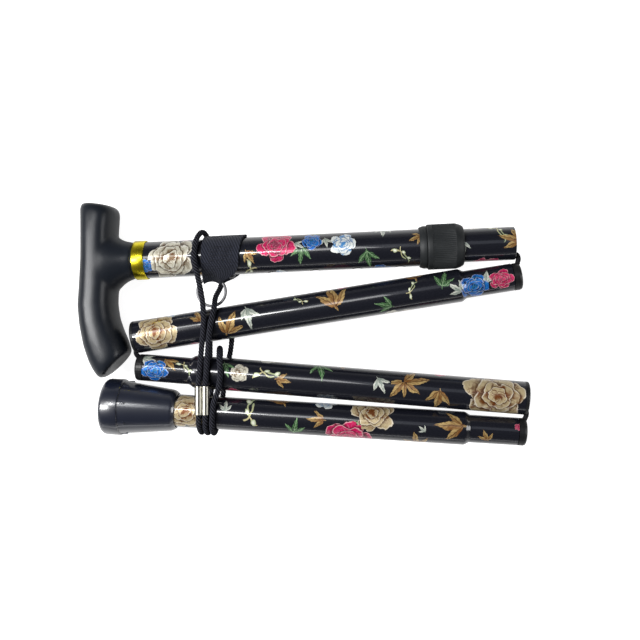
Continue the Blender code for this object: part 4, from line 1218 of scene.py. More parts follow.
TUBE_4_SPOTS = (
    Spot(Motif.GOLD_LEAF, 24.0, 18.0, 5.5, 70.0),
    Spot(Motif.PEONY, 5.4, -26.0, 2.6),
    Spot(Motif.GOLD_LEAF, 46.0, -14.0, 10.4, 0.0),
    Spot(Motif.WHITE_LEAF, 61.0, 4.0, 3.2, 40.0),
    Spot(Motif.GOLD_LEAF, 64.0, 52.0, 8.5, 80.0),
    Spot(Motif.GOLD_ROSE, 89.9, -44.0, 12.8, 10.0),
    Spot(Motif.PEONY, 104.0, 66.0, 13.6, 15.0, 1.1),
    Spot(Motif.GREEN_SPRIG, 97.0, -2.0, 5.5, 20.0),
    Spot(Motif.GOLD_LEAF, 123.6, -6.0, 6.4, 0.0),
    Spot(Motif.GREEN_SPRIG, 135.0, 24.0, 7.0, 100.0),
    Spot(Motif.TENDRIL, 160.0, -22.0, 10.5, 62.0),
    Spot(Motif.WHITE_LEAF, 177.0, -36.0, 4.6, 90.0),
    Spot(Motif.GOLD_ROSE, 201.0, -4.0, 12.5, 60.0),
    Spot(Motif.BLUE_BLOOM, 18.0, 150.0, 8.0, 15.0),
    Spot(Motif.ROSE, 52.0, 152.0, 13.0, 25.0),
    Spot(Motif.PEONY, 84.0, -134.0, 10.5, 5.0),
    Spot(Motif.BLUE_BLOOM, 122.0, 136.0, 8.5, 15.0),
    Spot(Motif.GOLD_LEAF, 146.0, -114.0, 12.0, 70.0),
    Spot(Motif.PEONY, 160.0, 132.0, 11.0, 35.0),
    Spot(Motif.ROSE, 190.0, -132.0, 12.0, 50.0),
    Spot(Motif.DAISY, 118.0, -84.0, 6.5, 30.0),
)


# The sub-assemblies, from the handle to the tip


@dataclass(frozen=True)
class GripRing:
    """One cross-section of the handle, in the first section's frame, in millimetres."""

    along: float
    aside: float
    half_width: float
    half_depth: float
    tilt: float  # degrees from the shaft's direction to the ring's width


@dataclass
class Handle:
    """The moulded grip, its neck and the peg inside the tube."""

    points: int = 64  # round each cross-section
    voxel: float = 0.75 * MM
    smoothing: int = 40  # passes, which round the neck's root
    fill: float = 0.1 * MM  # makes up for what the smoothing takes
    peg_radius: float = 9.8 * MM
    peg_length: float = 28.0 * MM
    peg_sides: int = 96
    chamfer: float = 0.6 * MM
    neck_radius: float = 11.2 * MM
    seat_inset: tuple[float, float] = (0.5 * MM, 0.2 * MM)  # of the seat's rim, at its two ends
    grip_roundness: float = 2.3
    neck_roundness: float = 2.0
    grip: tuple[GripRing, ...] = (
        GripRing(-21.1, 34.8, 8.2, 10.6, -9.0),
        GripRing(-20.9, 33.8, 10.2, 13.2, -9.0),
        GripRing(-20.8, 31.0, 11.1, 14.6, -9.0),
        GripRing(-21.0, 26.6, 10.7, 15.2, -4.0),
        GripRing(-21.6, 18.0, 10.3, 15.5, 0.0),
        GripRing(-22.3, 3.0, 10.2, 15.5, 0.0),
        GripRing(-23.2, -13.8, 10.9, 15.5, -3.0),
        GripRing(-24.4, -25.5, 11.1, 15.5, 0.0),
        GripRing(-23.6, -36.0, 11.4, 15.5, 8.0),
        GripRing(-21.4, -46.4, 12.3, 15.4, 20.0),
        GripRing(-18.8, -54.0, 13.0, 15.2, 31.0),
        GripRing(-16.8, -58.8, 12.9, 14.9, 38.0),
        GripRing(-15.1, -61.9, 12.5, 14.2, 42.0),
        GripRing(-14.3, -62.9, 11.4, 12.8, 43.0),
    )
    neck: tuple[GripRing, ...] = (
        GripRing(-20.0, -1.0, 24.0, 15.3, 90.0),
        GripRing(-16.8, -1.0, 21.4, 15.0, 90.0),
        GripRing(-14.2, -0.9, 19.0, 14.4, 90.0),
        GripRing(-11.4, -0.8, 16.4, 13.6, 90.0),
        GripRing(-8.6, -0.6, 14.0, 12.8, 90.0),
        GripRing(-5.4, -0.3, 12.2, 12.0, 90.0),
        GripRing(-2.4, 0.0, 11.4, 11.4, 90.0),
        GripRing(0.0, 0.0, 11.2, 11.2, 90.0),
    )

    def loft(self, name: str, rings: tuple[GripRing, ...], roundness: float) -> Object:
        """Bridges a body over cross-sections.

        Args:
            name: The new object's name.
            rings: The cross-sections, from one end to the other.
            roundness: 2 for an ellipse, more for a fuller shape.

        Returns:
            The closed body.
        """
        deselect()
        bpy.ops.mesh.primitive_circle_add(vertices=self.points, radius=1.0)
        body = bpy.context.object
        body.name = name
        body.data.name = name
        bpy.ops.object.mode_set(mode="EDIT")
        bpy.ops.mesh.select_mode(type="EDGE")
        for number, ring in enumerate(rings):
            if number:
                bpy.ops.mesh.select_all(action="DESELECT")
                bpy.ops.mesh.primitive_circle_add(vertices=self.points, radius=1.0)
            shape = bmesh.from_edit_mesh(body.data)
            centre = SHAFT.at(ring.along * MM, ring.aside * MM)
            tilt = math.radians(SHAFT.turn + ring.tilt)
            across = Vector((math.cos(tilt), math.sin(tilt), 0.0))
            shape.verts.ensure_lookup_table()
            for vertex in shape.verts[number * self.points :]:
                x, y, _ = vertex.co
                wide = math.copysign(abs(x) ** (2 / roundness), x) * ring.half_width * MM
                deep = math.copysign(abs(y) ** (2 / roundness), y) * ring.half_depth * MM
                vertex.co = centre + wide * across + deep * UP
            bmesh.update_edit_mesh(body.data)
        for number in range(len(rings) - 1):
            bpy.ops.mesh.select_all(action="DESELECT")
            shape = bmesh.from_edit_mesh(body.data)
            for edge in shape.edges:
                rows = {vertex.index // self.points for vertex in edge.verts}
                edge.select_set(len(rows) == 1 and rows <= {number, number + 1})
            bmesh.update_edit_mesh(body.data)
            bpy.ops.mesh.bridge_edge_loops()
        bpy.ops.mesh.select_all(action="SELECT")
        bpy.ops.mesh.fill_holes(sides=0)
        bpy.ops.object.mode_set(mode="OBJECT")
        face_out(body)
        return body

    def build(self, material: Material) -> None:
        """Models the handle and dresses it.

        Args:
            material: Its finish.
        """
        grip = self.loft("handle_shape", self.grip, self.grip_roundness)
        combine(grip, self.loft("neck_shape", self.neck, self.neck_roundness))
        apply_modifier(grip, "REMESH", mode="VOXEL", voxel_size=self.voxel)
        apply_modifier(grip, "SMOOTH", factor=0.5, iterations=self.smoothing)
        apply_modifier(grip, "DISPLACE", strength=self.fill, mid_level=0.0)
        peg, end, chamfer = self.peg_radius, self.peg_length, self.chamfer
        above, seat = (self.neck_radius - inset for inset in self.seat_inset)
        outline = [(0.0, -chamfer), (above, -chamfer), (seat, 0.0), (peg, 0.0)]
        outline += [(peg, end - chamfer), (peg - chamfer, end), (0.0, end)]
        combine(grip, settle(turned("handle_peg", outline, self.peg_sides), SHAFT.matrix()))
        smooth(grip, 50.0)
        grip.name = "handle_grip"
        dress(grip, material, Slot.HANDLE, Body.UPPER, "handle")


@dataclass
class NeckRing:
    """The gold ring between the neck and the upper tube."""

    lip: float = 10.1 * MM
    bore: float = 11.3 * MM
    outer: float = 11.8 * MM
    start: float = 0.3 * MM
    end: float = 7.5 * MM
    lip_end: float = 2.7 * MM
    soft: float = 0.5 * MM
    sides: int = 128

    def build(self, material: Material) -> None:
        """Models the ring and dresses it.

        Args:
            material: Its finish.
        """
        outer, start, end, soft = self.outer, self.start, self.end, self.soft
        outline = [(outer - soft, start), (outer - 0.3 * soft, start + 0.3 * soft), (outer, start + soft)]
        outline += [(outer, end - soft), (outer - 0.3 * soft, end - 0.3 * soft), (outer - soft, end)]
        outline += [(self.bore, end), (self.bore, self.lip_end), (self.lip, self.lip_end), (self.lip, start)]
        ring = turned("gold_ring", outline, self.sides, closed=True)
        smooth(ring)
        dress(settle(ring, SHAFT.matrix()), material, Slot.GOLD, Body.UPPER, "neck_ring")


@dataclass
class UpperTube:
    """The printed outer tube with its row of height holes."""

    start: float = 3.0 * MM
    end: float = 184.0 * MM
    hole_pitch: float = 25.4 * MM
    hole_count: int = 5
    soft: float = 0.25 * MM
    sides: int = 160

    def build(self, material: Material) -> None:
        """Models the tube and dresses it in its print.

        Args:
            material: Its finish.
        """
        outer, bore, soft = UPPER_OD / 2, UPPER_BORE / 2, self.soft
        outline = [(outer - soft, self.start)]
        outline += [(outer, along) for along in stations(self.start + soft, self.end - soft)]
        outline += [(outer - soft, self.end), (bore, self.end), (bore, self.start)]
        tube = turned("printed_upper_tube", outline, self.sides, closed=True)
        wrap_uv(tube, outer)
        settle(tube, SHAFT.matrix())
        for number in range(self.hole_count):
            drill(tube, SHAFT, FIRST_HOLE + number * self.hole_pitch, outer)
        smooth(tube)
        FloralPrint().write(tube, SHAFT, outer, UPPER_SPOTS)
        dress(tube, material, Slot.TUBE, Body.UPPER, "upper_tube")


@dataclass
class LowerTube:
    """One of the four tubes that the shock cord strings together."""

    number: int
    section: Section
    body: Body
    spots: tuple[Spot, ...]
    soft: float = 0.2 * MM
    plain_start: float = 43.0 * MM  # of the first tube, which has no spigot
    spigot_start: float = 4.8 * MM
    spigot_end: float = 32.3 * MM
    shoulder: float = 36.3 * MM  # where the tube has its full width
    spigot_od: float = 16.2 * MM
    wall: float = 0.65 * MM
    swage_steps: int = 8
    sides: int = 144

    def end(self) -> float:
        """Where the tube ends, which is short of its section's end where its bush has a lip."""
        return self.section.length - (LIP if self.number in LIPPED else 0.0)

    def outline(self) -> Outline:
        """Draws the tube, plain or swaged down to a spigot.

        Returns:
            Its outline.
        """
        rim, bore, soft, end = TUBE_OD / 2, TUBE_BORE / 2, self.soft, self.end()
        if self.number == 1:
            start = self.plain_start
            walls = [(rim, along) for along in stations(start + soft, end - soft)]
            return [(rim - soft, start), *walls, (rim - soft, end), (bore, end), (bore, start)]
        small, inner = self.spigot_od / 2, self.spigot_od / 2 - self.wall
        start, foot, shoulder = self.spigot_start, self.spigot_end, self.shoulder
        outside = [(small - soft, start), *((small, along) for along in stations(start + soft, foot)[:-1])]
        inside = [(inner, start)]
        for step in range(self.swage_steps + 1):
            share = step / self.swage_steps
            swell = ease(share)
            along = foot + (shoulder - foot) * share
            outside.append((small + (rim - small) * swell, along))
            inside.append((inner + (bore - inner) * swell, along))
        outside += [(rim, along) for along in stations(shoulder, end - soft)[1:]] + [(rim - soft, end)]
        inside.append((bore, end))
        return outside + inside[::-1]

    def build(self, material: Material) -> None:
        """Models the tube and dresses it in its print.

        Args:
            material: Its finish.
        """
        tube = turned(f"printed_tube_{self.number}", self.outline(), self.sides, closed=True)
        wrap_uv(tube, TUBE_OD / 2)
        settle(tube, self.section.matrix())
        if self.number == 1:
            drill(tube, self.section, FIRST_HOLE, TUBE_OD / 2)
        smooth(tube)
        FloralPrint().write(tube, self.section, TUBE_OD / 2, self.spots)
        dress(tube, material, Slot.TUBE, self.body, f"tube_{self.number}")


@dataclass
class LockCollar:
    """The threaded sleeve at the upper tube's mouth and the ribbed nut that tightens it."""

    sides: int = 144
    nut_radius: float = 13.4 * MM
    rib_height: float = 0.35 * MM
    rib_ends: tuple[float, float] = (178.9 * MM, 191.7 * MM)
    rib_shares: tuple[float, float] = (0.1, 0.65)  # of the ribs' pitch, where each rib starts and ends
    slot_width: float = 1.2 * MM
    slot_start: float = 185.5 * MM
    slot_length: float = 6.0 * MM
    slot_reach: float = 30.0 * MM  # of the cutter, through both walls

    def build_sleeve(self, material: Material) -> None:
        """Models the sleeve with its slotted collet and dresses it.

        Args:
            material: Its finish.
        """
        profile = [(11.65, 171.2), (11.95, 171.45), (12.45, 173.1), (12.6, 173.5), (12.6, 175.3)]
        profile += [(12.4, 175.5), (12.0, 175.5), (12.0, 184.3), (11.1, 190.0), (10.1, 190.0), (10.1, 184.3)]
        profile += [(11.3, 184.3), (11.3, 171.2)]
        sleeve = turned("collar_sleeve", metres(profile), self.sides, closed=True)
        settle(sleeve, SHAFT.matrix())
        place = SHAFT.matrix() @ Matrix.Translation((0.0, 0.0, self.slot_start + self.slot_length / 2))
        for turn in (45.0, 135.0):
            deselect()
            box = (self.slot_width, self.slot_reach, self.slot_length)
            bpy.ops.mesh.primitive_cube_add(size=1.0, scale=box)
            cutter = settle(bpy.context.object, place @ Matrix.Rotation(math.radians(turn), 4, "Z"))
            combine(sleeve, cutter, "DIFFERENCE")
        smooth(sleeve)
        dress(sleeve, material, Slot.LOCK, Body.UPPER, "lock_sleeve")

    def build_nut(self, material: Material) -> None:
        """Models the nut, raises its ribs and dresses it.

        Args:
            material: Its finish.
        """
        rim, base = self.nut_radius / MM, (self.nut_radius - self.rib_height) / MM
        profile = [(12.3, 175.8), (13.0, 175.8), (13.3, 176.1), (rim, 176.5), (rim, 178.6), (base, 179.0)]
        profile += [(base, 191.6), (rim, 192.2), (13.3, 192.8), (12.6, 195.0), (11.7, 196.6), (11.2, 197.0)]
        profile += [(10.4, 197.0), (10.1, 196.7), (10.1, 190.5), (12.3, 190.5)]
        nut = turned("collar_nut", metres(profile), 2 * self.sides, closed=True)
        pick(nut)
        bpy.ops.object.mode_set(mode="EDIT")
        bpy.ops.mesh.select_mode(type="VERT")
        bpy.ops.mesh.select_all(action="DESELECT")
        shape = bmesh.from_edit_mesh(nut.data)
        pitch = TAU / (self.sides // 2)
        (start, end), (low, high) = self.rib_ends, self.rib_shares
        for vertex in shape.verts:
            x, y, along = vertex.co
            turn = math.atan2(y, x) / pitch % 1.0
            outside = math.hypot(x, y) > self.nut_radius - 2 * self.rib_height
            vertex.select_set(outside and start < along < end and low < turn < high)
        bmesh.update_edit_mesh(nut.data)
        share = rim / base
        bpy.ops.transform.resize(value=(share, share, 1.0), center_override=(0.0, 0.0, 0.0))
        bpy.ops.object.mode_set(mode="OBJECT")
        smooth(nut)
        dress(settle(nut, SHAFT.matrix()), material, Slot.LOCK, Body.NUT, "lock_nut")


@dataclass
class SnapButton:
    """The domed button that locks the height."""

    radius: float = 3.0 * MM
    top: float = 13.3 * MM  # from the shaft's axis
    dome: float = 2.6 * MM  # its height
    dome_steps: int = 8
    seat: float = 7.938 * MM  # from the shaft's axis to the upper side of the foot
    foot: float = 1.0 * MM  # its thickness
    foot_radius: float = 4.0 * MM
    sides: int = 48

    def build(self, material: Material) -> None:
        """Models the button and dresses it.

        Args:
            material: Its finish.
        """
        seat, wide, dome = self.seat, self.foot_radius, self.dome
        outline = [(0.0, seat - self.foot), (wide, seat - self.foot), (wide, seat), (self.radius, seat)]
        outline.append((self.radius, self.top - dome))
        for step in range(1, self.dome_steps):
            angle = math.pi / 2 * step / self.dome_steps
            outline.append((self.radius * math.cos(angle), self.top - dome * (1 - math.sin(angle))))
        button = turned("height_button", [*outline, (0.0, self.top)], self.sides)
        smooth(button, 40.0)
        place = aimed(SHAFT.at(FIRST_HOLE), SHAFT.matrix().to_3x3() @ -LEFT)
        dress(settle(button, place), material, Slot.STEEL, Body.BUTTON, "snap_button")


@dataclass
class SnapSpring:
    """The leaf spring behind the button, bent back on itself inside the first tube."""

    start: float = 53.1 * MM
    turn: float = 86.0 * MM  # where the legs run into the bend
    held: float = 63.0 * MM  # up to here the near leg moves as one with the button
    near: float = -6.338 * MM  # aside, the button's leg
    far: float = 7.863 * MM  # aside, the other leg
    width: float = 7.0 * MM
    thickness: float = 0.6 * MM
    bevel: float = 0.12 * MM
    bend_steps: int = 16

    def build(self, material: Material) -> None:
        """Bends the leaf and gives it its finish.

        Args:
            material: Its finish.
        """
        bend, middle = (self.far - self.near) / 2, (self.far + self.near) / 2
        leg = stations(self.start, self.turn)
        path = [(along, self.near) for along in leg]
        for step in range(1, self.bend_steps):
            angle = math.pi * step / self.bend_steps
            path.append((self.turn + bend * math.sin(angle), middle - bend * math.cos(angle)))
        path += [(along, self.far) for along in reversed(leg)]
        count = len(path) - 1
        deselect()
        bpy.ops.mesh.primitive_grid_add(x_subdivisions=count, y_subdivisions=1, size=1.0)
        leaf = bpy.context.object
        for vertex in leaf.data.vertices:
            along, aside = path[round((vertex.co.x + 0.5) * count)]
            vertex.co = SHAFT.at(along, aside, vertex.co.y * self.width)
        apply_modifier(leaf, "SOLIDIFY", thickness=self.thickness, offset=0.0)
        apply_modifier(leaf, "BEVEL", width=self.bevel, segments=2, limit_method="ANGLE")
        face_out(leaf)
        smooth(leaf, 40.0)
        leaf.name = "v_spring"
        leaf.data.materials.append(material)
        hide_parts("snap_spring")
        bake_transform(leaf)
        report(leaf)


@dataclass
class ShockCordLoop:
    """The stretch of shock cord that bridges one fold, from a mouth into the next plug."""

    tube: LowerTube
    following: LowerTube
    side: int  # 1 where the fold's pivot is to the section's left, else -1
    hug: float = 1.92 * MM
    wall: float = 8.4 * MM  # of the bush's mouth, aside of the axis
    count: int = 60  # points of its line
    bent: tuple[int, int] = (22, 46)  # the points between which it bends

    def route(self) -> list[Vector]:
        """Lays the loop from the mouth's middle over its edge into the next plug.

        Returns:
            The points that it passes.
        """
        section, hug, wall, end = self.tube.section, self.hug, self.wall, self.tube.end()
        turns = [(section.length - back * MM, 0.0) for back in (24.0, 21.1, 18.2)]
        turns += [(end - 8.0 * MM, 0.52 * (wall - hug)), (end - 2.6 * MM, wall - 1.45 * hug)]
        turns += [(end + 0.7 * hug, wall - 0.78 * hug), (end + 1.08 * hug, 9.1 * MM)]
        turns.append((end + hug, 9.8 * MM + 0.3 * hug))
        points = [section.at(along, self.side * aside) for along, aside in turns]
        section = self.following.section
        ahead = ((2.64, 3.4), (5.04, 0.81), (9.6, 0.0), (12.0, 0.0))
        return points + [section.at(along * MM, self.side * aside * MM) for along, aside in ahead]

    def build(self, material: Material) -> None:
        """Models the loop and gives it its finish.

        Args:
            material: Its finish.
        """
        points = smooth_route(self.route(), self.count)
        braid = Braid(SHOCK_CORD_D, sides=32, step=0.3 * MM, strands=8, pitch=14.0 * MM, relief=0.07)
        cord = braid.mesh(f"elastic_loop_{self.tube.number}", points)
        cord.data.materials.append(material)
        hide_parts(f"shock_cord_loop_{self.tube.number}")
        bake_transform(cord)
        report(cord)


@dataclass
class RubberTip:
    """The stepped rubber tip with its ribs and grooved sole."""

    wide: float = 17.0 * MM
    sides: int = 144
    ribs: int = 8
    rib_size: Place = (1.3 * MM, 1.2 * MM, 5.0 * MM)
    rib_radius: float = 15.7 * MM  # where the ribs' middles stand
    rib_along: float = 238.7 * MM
    rib_bevel: float = 0.3 * MM
    rib_lean: float = 3.5  # degrees
    rib_shift: float = 0.35  # of the ribs' pitch, where the first one stands
    grooves: tuple[float, ...] = (0.72, 0.46)  # outer edges of the sole's grooves, in shares of wide

    def outline(self) -> Outline:
        """Draws the tip, from the bore's floor over the outside to the sole's middle.

        Returns:
            Its outline.
        """
        profile = [(0.0, 242.2), (10.1, 242.2), (10.1, 208.1), (10.3, 207.7), (10.8, 207.8), (11.6, 208.8)]
        profile += [(12.1, 209.7), (12.4, 210.6), (15.95, 240.2), (16.05, 240.6), (16.4, 240.6)]
        profile += [(16.8, 240.8), (17.0, 241.3), (17.0, 249.0), (16.7, 250.4), (16.0, 251.5)]
        profile += [(15.1, 252.05), (14.0, 252.2)]
        for share in self.grooves:
            edge = share * self.wide / MM
            profile += [(edge + 0.2, 252.2), (edge, 252.0), (edge - 0.5, 251.0)]
            profile += [(edge - 1.7, 251.0), (edge - 2.2, 252.0), (edge - 2.4, 252.2)]
        return metres([*profile, (0.0, 252.2)])

    def build(self, material: Material) -> None:
        """Models the tip, adds its ribs and dresses it.

        Args:
            material: Its finish.
        """
        tip = turned("stepped_tip", self.outline(), self.sides)
        for number in range(self.ribs):
            deselect()
            bpy.ops.mesh.primitive_cube_add(size=1.0, scale=self.rib_size)
            rib = bpy.context.object
            apply_modifier(rib, "BEVEL", width=self.rib_bevel, segments=2)
            turn = Matrix.Rotation(TAU * (number + self.rib_shift) / self.ribs, 4, "Z")
            lean = Matrix.Rotation(math.radians(self.rib_lean), 4, "X")
            place = Matrix.Translation((0.0, self.rib_radius, self.rib_along))
            combine(tip, settle(rib, turn @ place @ lean))
        smooth(tip, 40.0)
        dress(settle(tip, SECTION_4.matrix()), material, Slot.TIP, Body.FOURTH, "rubber_tip")


@dataclass
class WristBand:
    """The webbing band round the upper tube, sewn together over the split ring."""

    hug: float = 11.3 * MM
    single: float = 0.8 * MM  # thickness of one layer
    double: float = 1.4 * MM
    lap: float = 67.0  # degrees from the fold to the upper layer's edge
    lap_rise: float = 2.0  # degrees over which that edge rises
    width: float = 20.7 * MM
    rounding: float = 0.012  # share of the width that rounds each side
    edge_turns: tuple[float, ...] = (0.0, 6.0, 12.0, 20.0, 30.0, 45.0, 60.0, 90.0, 135.0, 180.0)
    left_edge: tuple[float, ...] = (41.2, 41.2, 41.3, 41.4, 41.6, 41.9, 42.2, 42.6, 43.0, 43.3)
    right_edge: tuple[float, ...] = (50.8, 52.4, 54.9, 58.8, 61.6, 63.6, 64.6, 65.4, 66.8, 68.8)
    ring_wire: float = 1.8 * MM  # the room that the ring takes, over its thickness
    rings: int = 180
    columns: int = 40
    seam_rows: int = 4  # of zigzag stitches
    seam_columns: int = 14
    seam_left: float = 0.20  # share of the width at which each row starts
    seam_step: float = 0.045  # share of the width that each stitch takes
    seam_start: float = 72.0  # degrees
    seam_pitch: float = 11.5  # degrees
    seam_height: float = 9.5  # degrees
    plain_rows: tuple[float, ...] = (58.0, 50.0)  # degrees
    plain_columns: int = 11
    plain_left: float = 0.14  # share of the width at which each row starts
    plain_step: float = 0.066  # share of the width from one stitch to the next
    plain_stitch: float = 0.048  # share of the width that each stitch takes
    thread: float = 0.42 * MM
    thread_rise: float = 0.14 * MM  # of a stitch's middle over its ends
    thread_sink: float = 0.05 * MM  # of its ends into the webbing

    def lift(self, degrees: float) -> float:
        """The webbing's thickness at an angle from the fold."""
        edge = min(max((degrees % 360.0 - self.lap) / self.lap_rise, 0.0), 1.0)
        return self.single + (self.double - self.single) * ease(edge)

    def place(self, degrees: float, share: float, lift: float) -> Vector:
        """A point on the band.

        Args:
            degrees: The angle round the tube from the fold at the ring, over the side that faces up.
            share: 0 at the band's edge towards the handle, 1 at the other.
            lift: The height over the band's inner face.

        Returns:
            The point.
        """
        angle = math.radians(degrees % 360.0)
        from_fold = min(angle, TAU - angle)
        turn = math.degrees(from_fold)
        left = float(np.interp(turn, self.edge_turns, self.left_edge)) * MM
        right = float(np.interp(turn, self.edge_turns, self.right_edge)) * MM
        along = left + (right - left) * share
        hang = self.hug + RING_RADIUS + self.ring_wire / 2
        reach = RING_RADIUS - self.ring_wire / 2 - 2 * GAP
        apex = hang - math.sqrt(max(reach**2 - (along - RING_ALONG) ** 2, 0.0))
        apex = min(max(apex, self.hug), 1.5 * self.hug)
        tangent = math.acos(self.hug / apex)
        radius = self.hug / math.cos(max(0.0, tangent - from_fold)) + lift
        return SHAFT.at(along, -radius * math.cos(angle), radius * math.sin(angle))

    def build(self, material: Material) -> None:
        """Models the band with its lapped layer and dresses it.

        Args:
            material: Its finish.
        """
        flat_part = 1 - 2 * self.rounding
        shares = (self.rounding + flat_part * step / self.columns for step in range(self.columns + 1))
        across = [0.0, *shares, 1.0]
        even = {360.0 * step / self.rings for step in range(self.rings)}
        turns = sorted(even | {self.lap + self.lap_rise * step / 5 for step in range(6)})
        rows = []
        for degrees in turns:
            lift = self.lift(degrees)
            outer = [self.place(degrees, share, lift) for share in across[1:-1]]
            inner = [self.place(degrees, share, 0.0) for share in across[1:-1]]
            low, high = (self.place(degrees, share, lift / 2) for share in (across[0], across[-1]))
            rows.append([low, *outer, high, *reversed(inner)])
        count = len(rows[0])
        stops = [math.radians(degrees) * self.hug for degrees in turns] + [TAU * self.hug]
        shares = [share * self.width for share in (*across, *reversed(across[1:-1]))]
        flat = []
        for here, there in zip(stops, stops[1:]):
            for first, second in zip(shares, [*shares[1:], shares[0]]):
                flat += [(here, first), (here, second), (there, second), (there, first)]
        points = [tuple(point) for row in rows for point in row]
        band = mapped("sewn_band", points, ring_faces(len(rows), count, closed=True), flat)
        face_out(band)
        smooth(band, 50.0)
        dress(band, material, Slot.WEBBING, Body.UPPER, "wrist_band")

    def stitch(self, start: tuple[float, float], stop: tuple[float, float]) -> list[Vector]:
        """Lays one stitch, which sinks into the webbing at both ends.

        Args:
            start: Where it starts, in degrees round the tube and as a share of the width.
            stop: Where it ends.

        Returns:
            The points of its line.
        """
        points = []
        for step in range(5):
            share = step / 4
            degrees = start[0] + (stop[0] - start[0]) * share
            across = start[1] + (stop[1] - start[1]) * share
            height = self.lift(degrees) + self.thread_rise * math.sin(math.pi * share) - self.thread_sink
            points.append(self.place(degrees, across, height))
        return points

    def sew(self, material: Material) -> None:
        """Models the zigzag seam and the two straight rows below it, and dresses them.

        Args:
            material: The thread's finish.
        """
        threads = []
        for row in range(self.seam_rows):
            low = self.seam_start + self.seam_pitch * row
            high = low + self.seam_height
            for step in range(self.seam_columns):
                left, right = (self.seam_left + self.seam_step * edge for edge in (step, step + 1))
                start, stop = (low, high) if step % 2 else (high, low)
                threads.append(self.stitch((start, left), (stop, right)))
        for step in range(self.plain_columns):
            left = self.plain_left + self.plain_step * step
            right = left + self.plain_stitch
            threads += [self.stitch((turn, left), (turn, right)) for turn in self.plain_rows]
        yarn = Braid(self.thread, sides=6, step=0.45 * MM, relief=0.0)
        parts = [yarn.mesh("stitch", points) for points in threads]
        deselect()
        for part in parts:
            part.select_set(True)
        bpy.context.view_layer.objects.active = parts[0]
        bpy.ops.object.join()
        parts[0].name = "band_stitches"
        dress(parts[0], material, Slot.WEBBING, Body.UPPER)


@dataclass
class SplitRing:
    """The two-coil ring that joins the band and the cord."""

    aside: float = -20.822 * MM
    wire: tuple[float, float] = (1.72 * MM, 0.84 * MM)  # its flat width and its thickness
    pitch: float = 0.90 * MM
    end_gap: float = 0.06  # radians between the coil's ends
    turn: float = 70.0  # degrees from the shaft's direction to the coil's start
    sides: int = 24
    steps: int = 192  # over both coils

    def build(self, material: Material) -> None:
        """Winds the ring and dresses it.

        Args:
            material: Its finish.
        """
        deselect()
        bpy.ops.mesh.primitive_circle_add(
            vertices=self.sides,
            radius=self.wire[1] / 2,
            location=(RING_RADIUS, 0.0, -self.pitch / 2),
            rotation=(math.pi / 2, 0.0, 0.0),
        )
        ring = bpy.context.object
        ring.scale = (self.wire[0] / self.wire[1], 1.0, 1.0)
        bpy.ops.object.transform_apply(location=True, rotation=True, scale=True)
        sweep, steps = 2 * TAU - self.end_gap, self.steps
        apply_modifier(ring, "SCREW", angle=sweep, screw_offset=self.pitch, steps=steps, render_steps=steps)
        pick(ring)
        bpy.ops.object.mode_set(mode="EDIT")
        bpy.ops.mesh.select_all(action="SELECT")
        bpy.ops.mesh.fill_holes(sides=0)
        bpy.ops.object.mode_set(mode="OBJECT")
        face_out(ring)
        smooth(ring, 40.0)
        ring.name = "two_coil_ring"
        start = Matrix.Rotation(math.radians(self.turn), 4, "Z")
        settle(ring, Matrix.Translation(SHAFT.at(RING_ALONG, self.aside)) @ start)
        dress(ring, material, Slot.STEEL, Body.UPPER, "split_ring")


@dataclass
class Ferrule:
    """The double ferrule that is pressed onto the wrist cord."""

    x: float = -56.7 * MM
    y: float = -46.2 * MM
    z: float = 29.6 * MM
    pitch: float = 4.1 * MM  # between its barrels
    length: float = 17.0 * MM
    outer: float = 2.3 * MM
    bore: float = 1.9 * MM
    soft: float = 0.15 * MM
    sides: int = 48

    def barrel(self, x: float) -> Object:
        """Turns one barrel with rounded lips.

        Args:
            x: Where it stands.

        Returns:
            The barrel, in its place.
        """
        half, soft = self.length / 2, self.soft
        outline = [(self.outer - soft, -half), (self.outer, -half + soft), (self.outer, half - soft)]
        outline += [(self.outer - soft, half), (self.bore, half), (self.bore, -half)]
        item = turned("ferrule_barrel", outline, self.sides, closed=True)
        place = Matrix.Translation((x, self.y, self.z)) @ Matrix.Rotation(-math.pi / 2, 4, "X")
        return settle(item, place)

    def build(self, material: Material) -> Object:
        """Models the ferrule and dresses it.

        Args:
            material: Its finish.

        Returns:
            The ferrule.
        """
        ferrule = self.barrel(self.x - self.pitch / 2)
        combine(ferrule, self.barrel(self.x + self.pitch / 2))
        ferrule.name = "pressed_ferrule"
        smooth(ferrule, 35.0)
        dress(ferrule, material, Slot.STEEL, Body.UPPER, "cord_ferrule")
        return ferrule


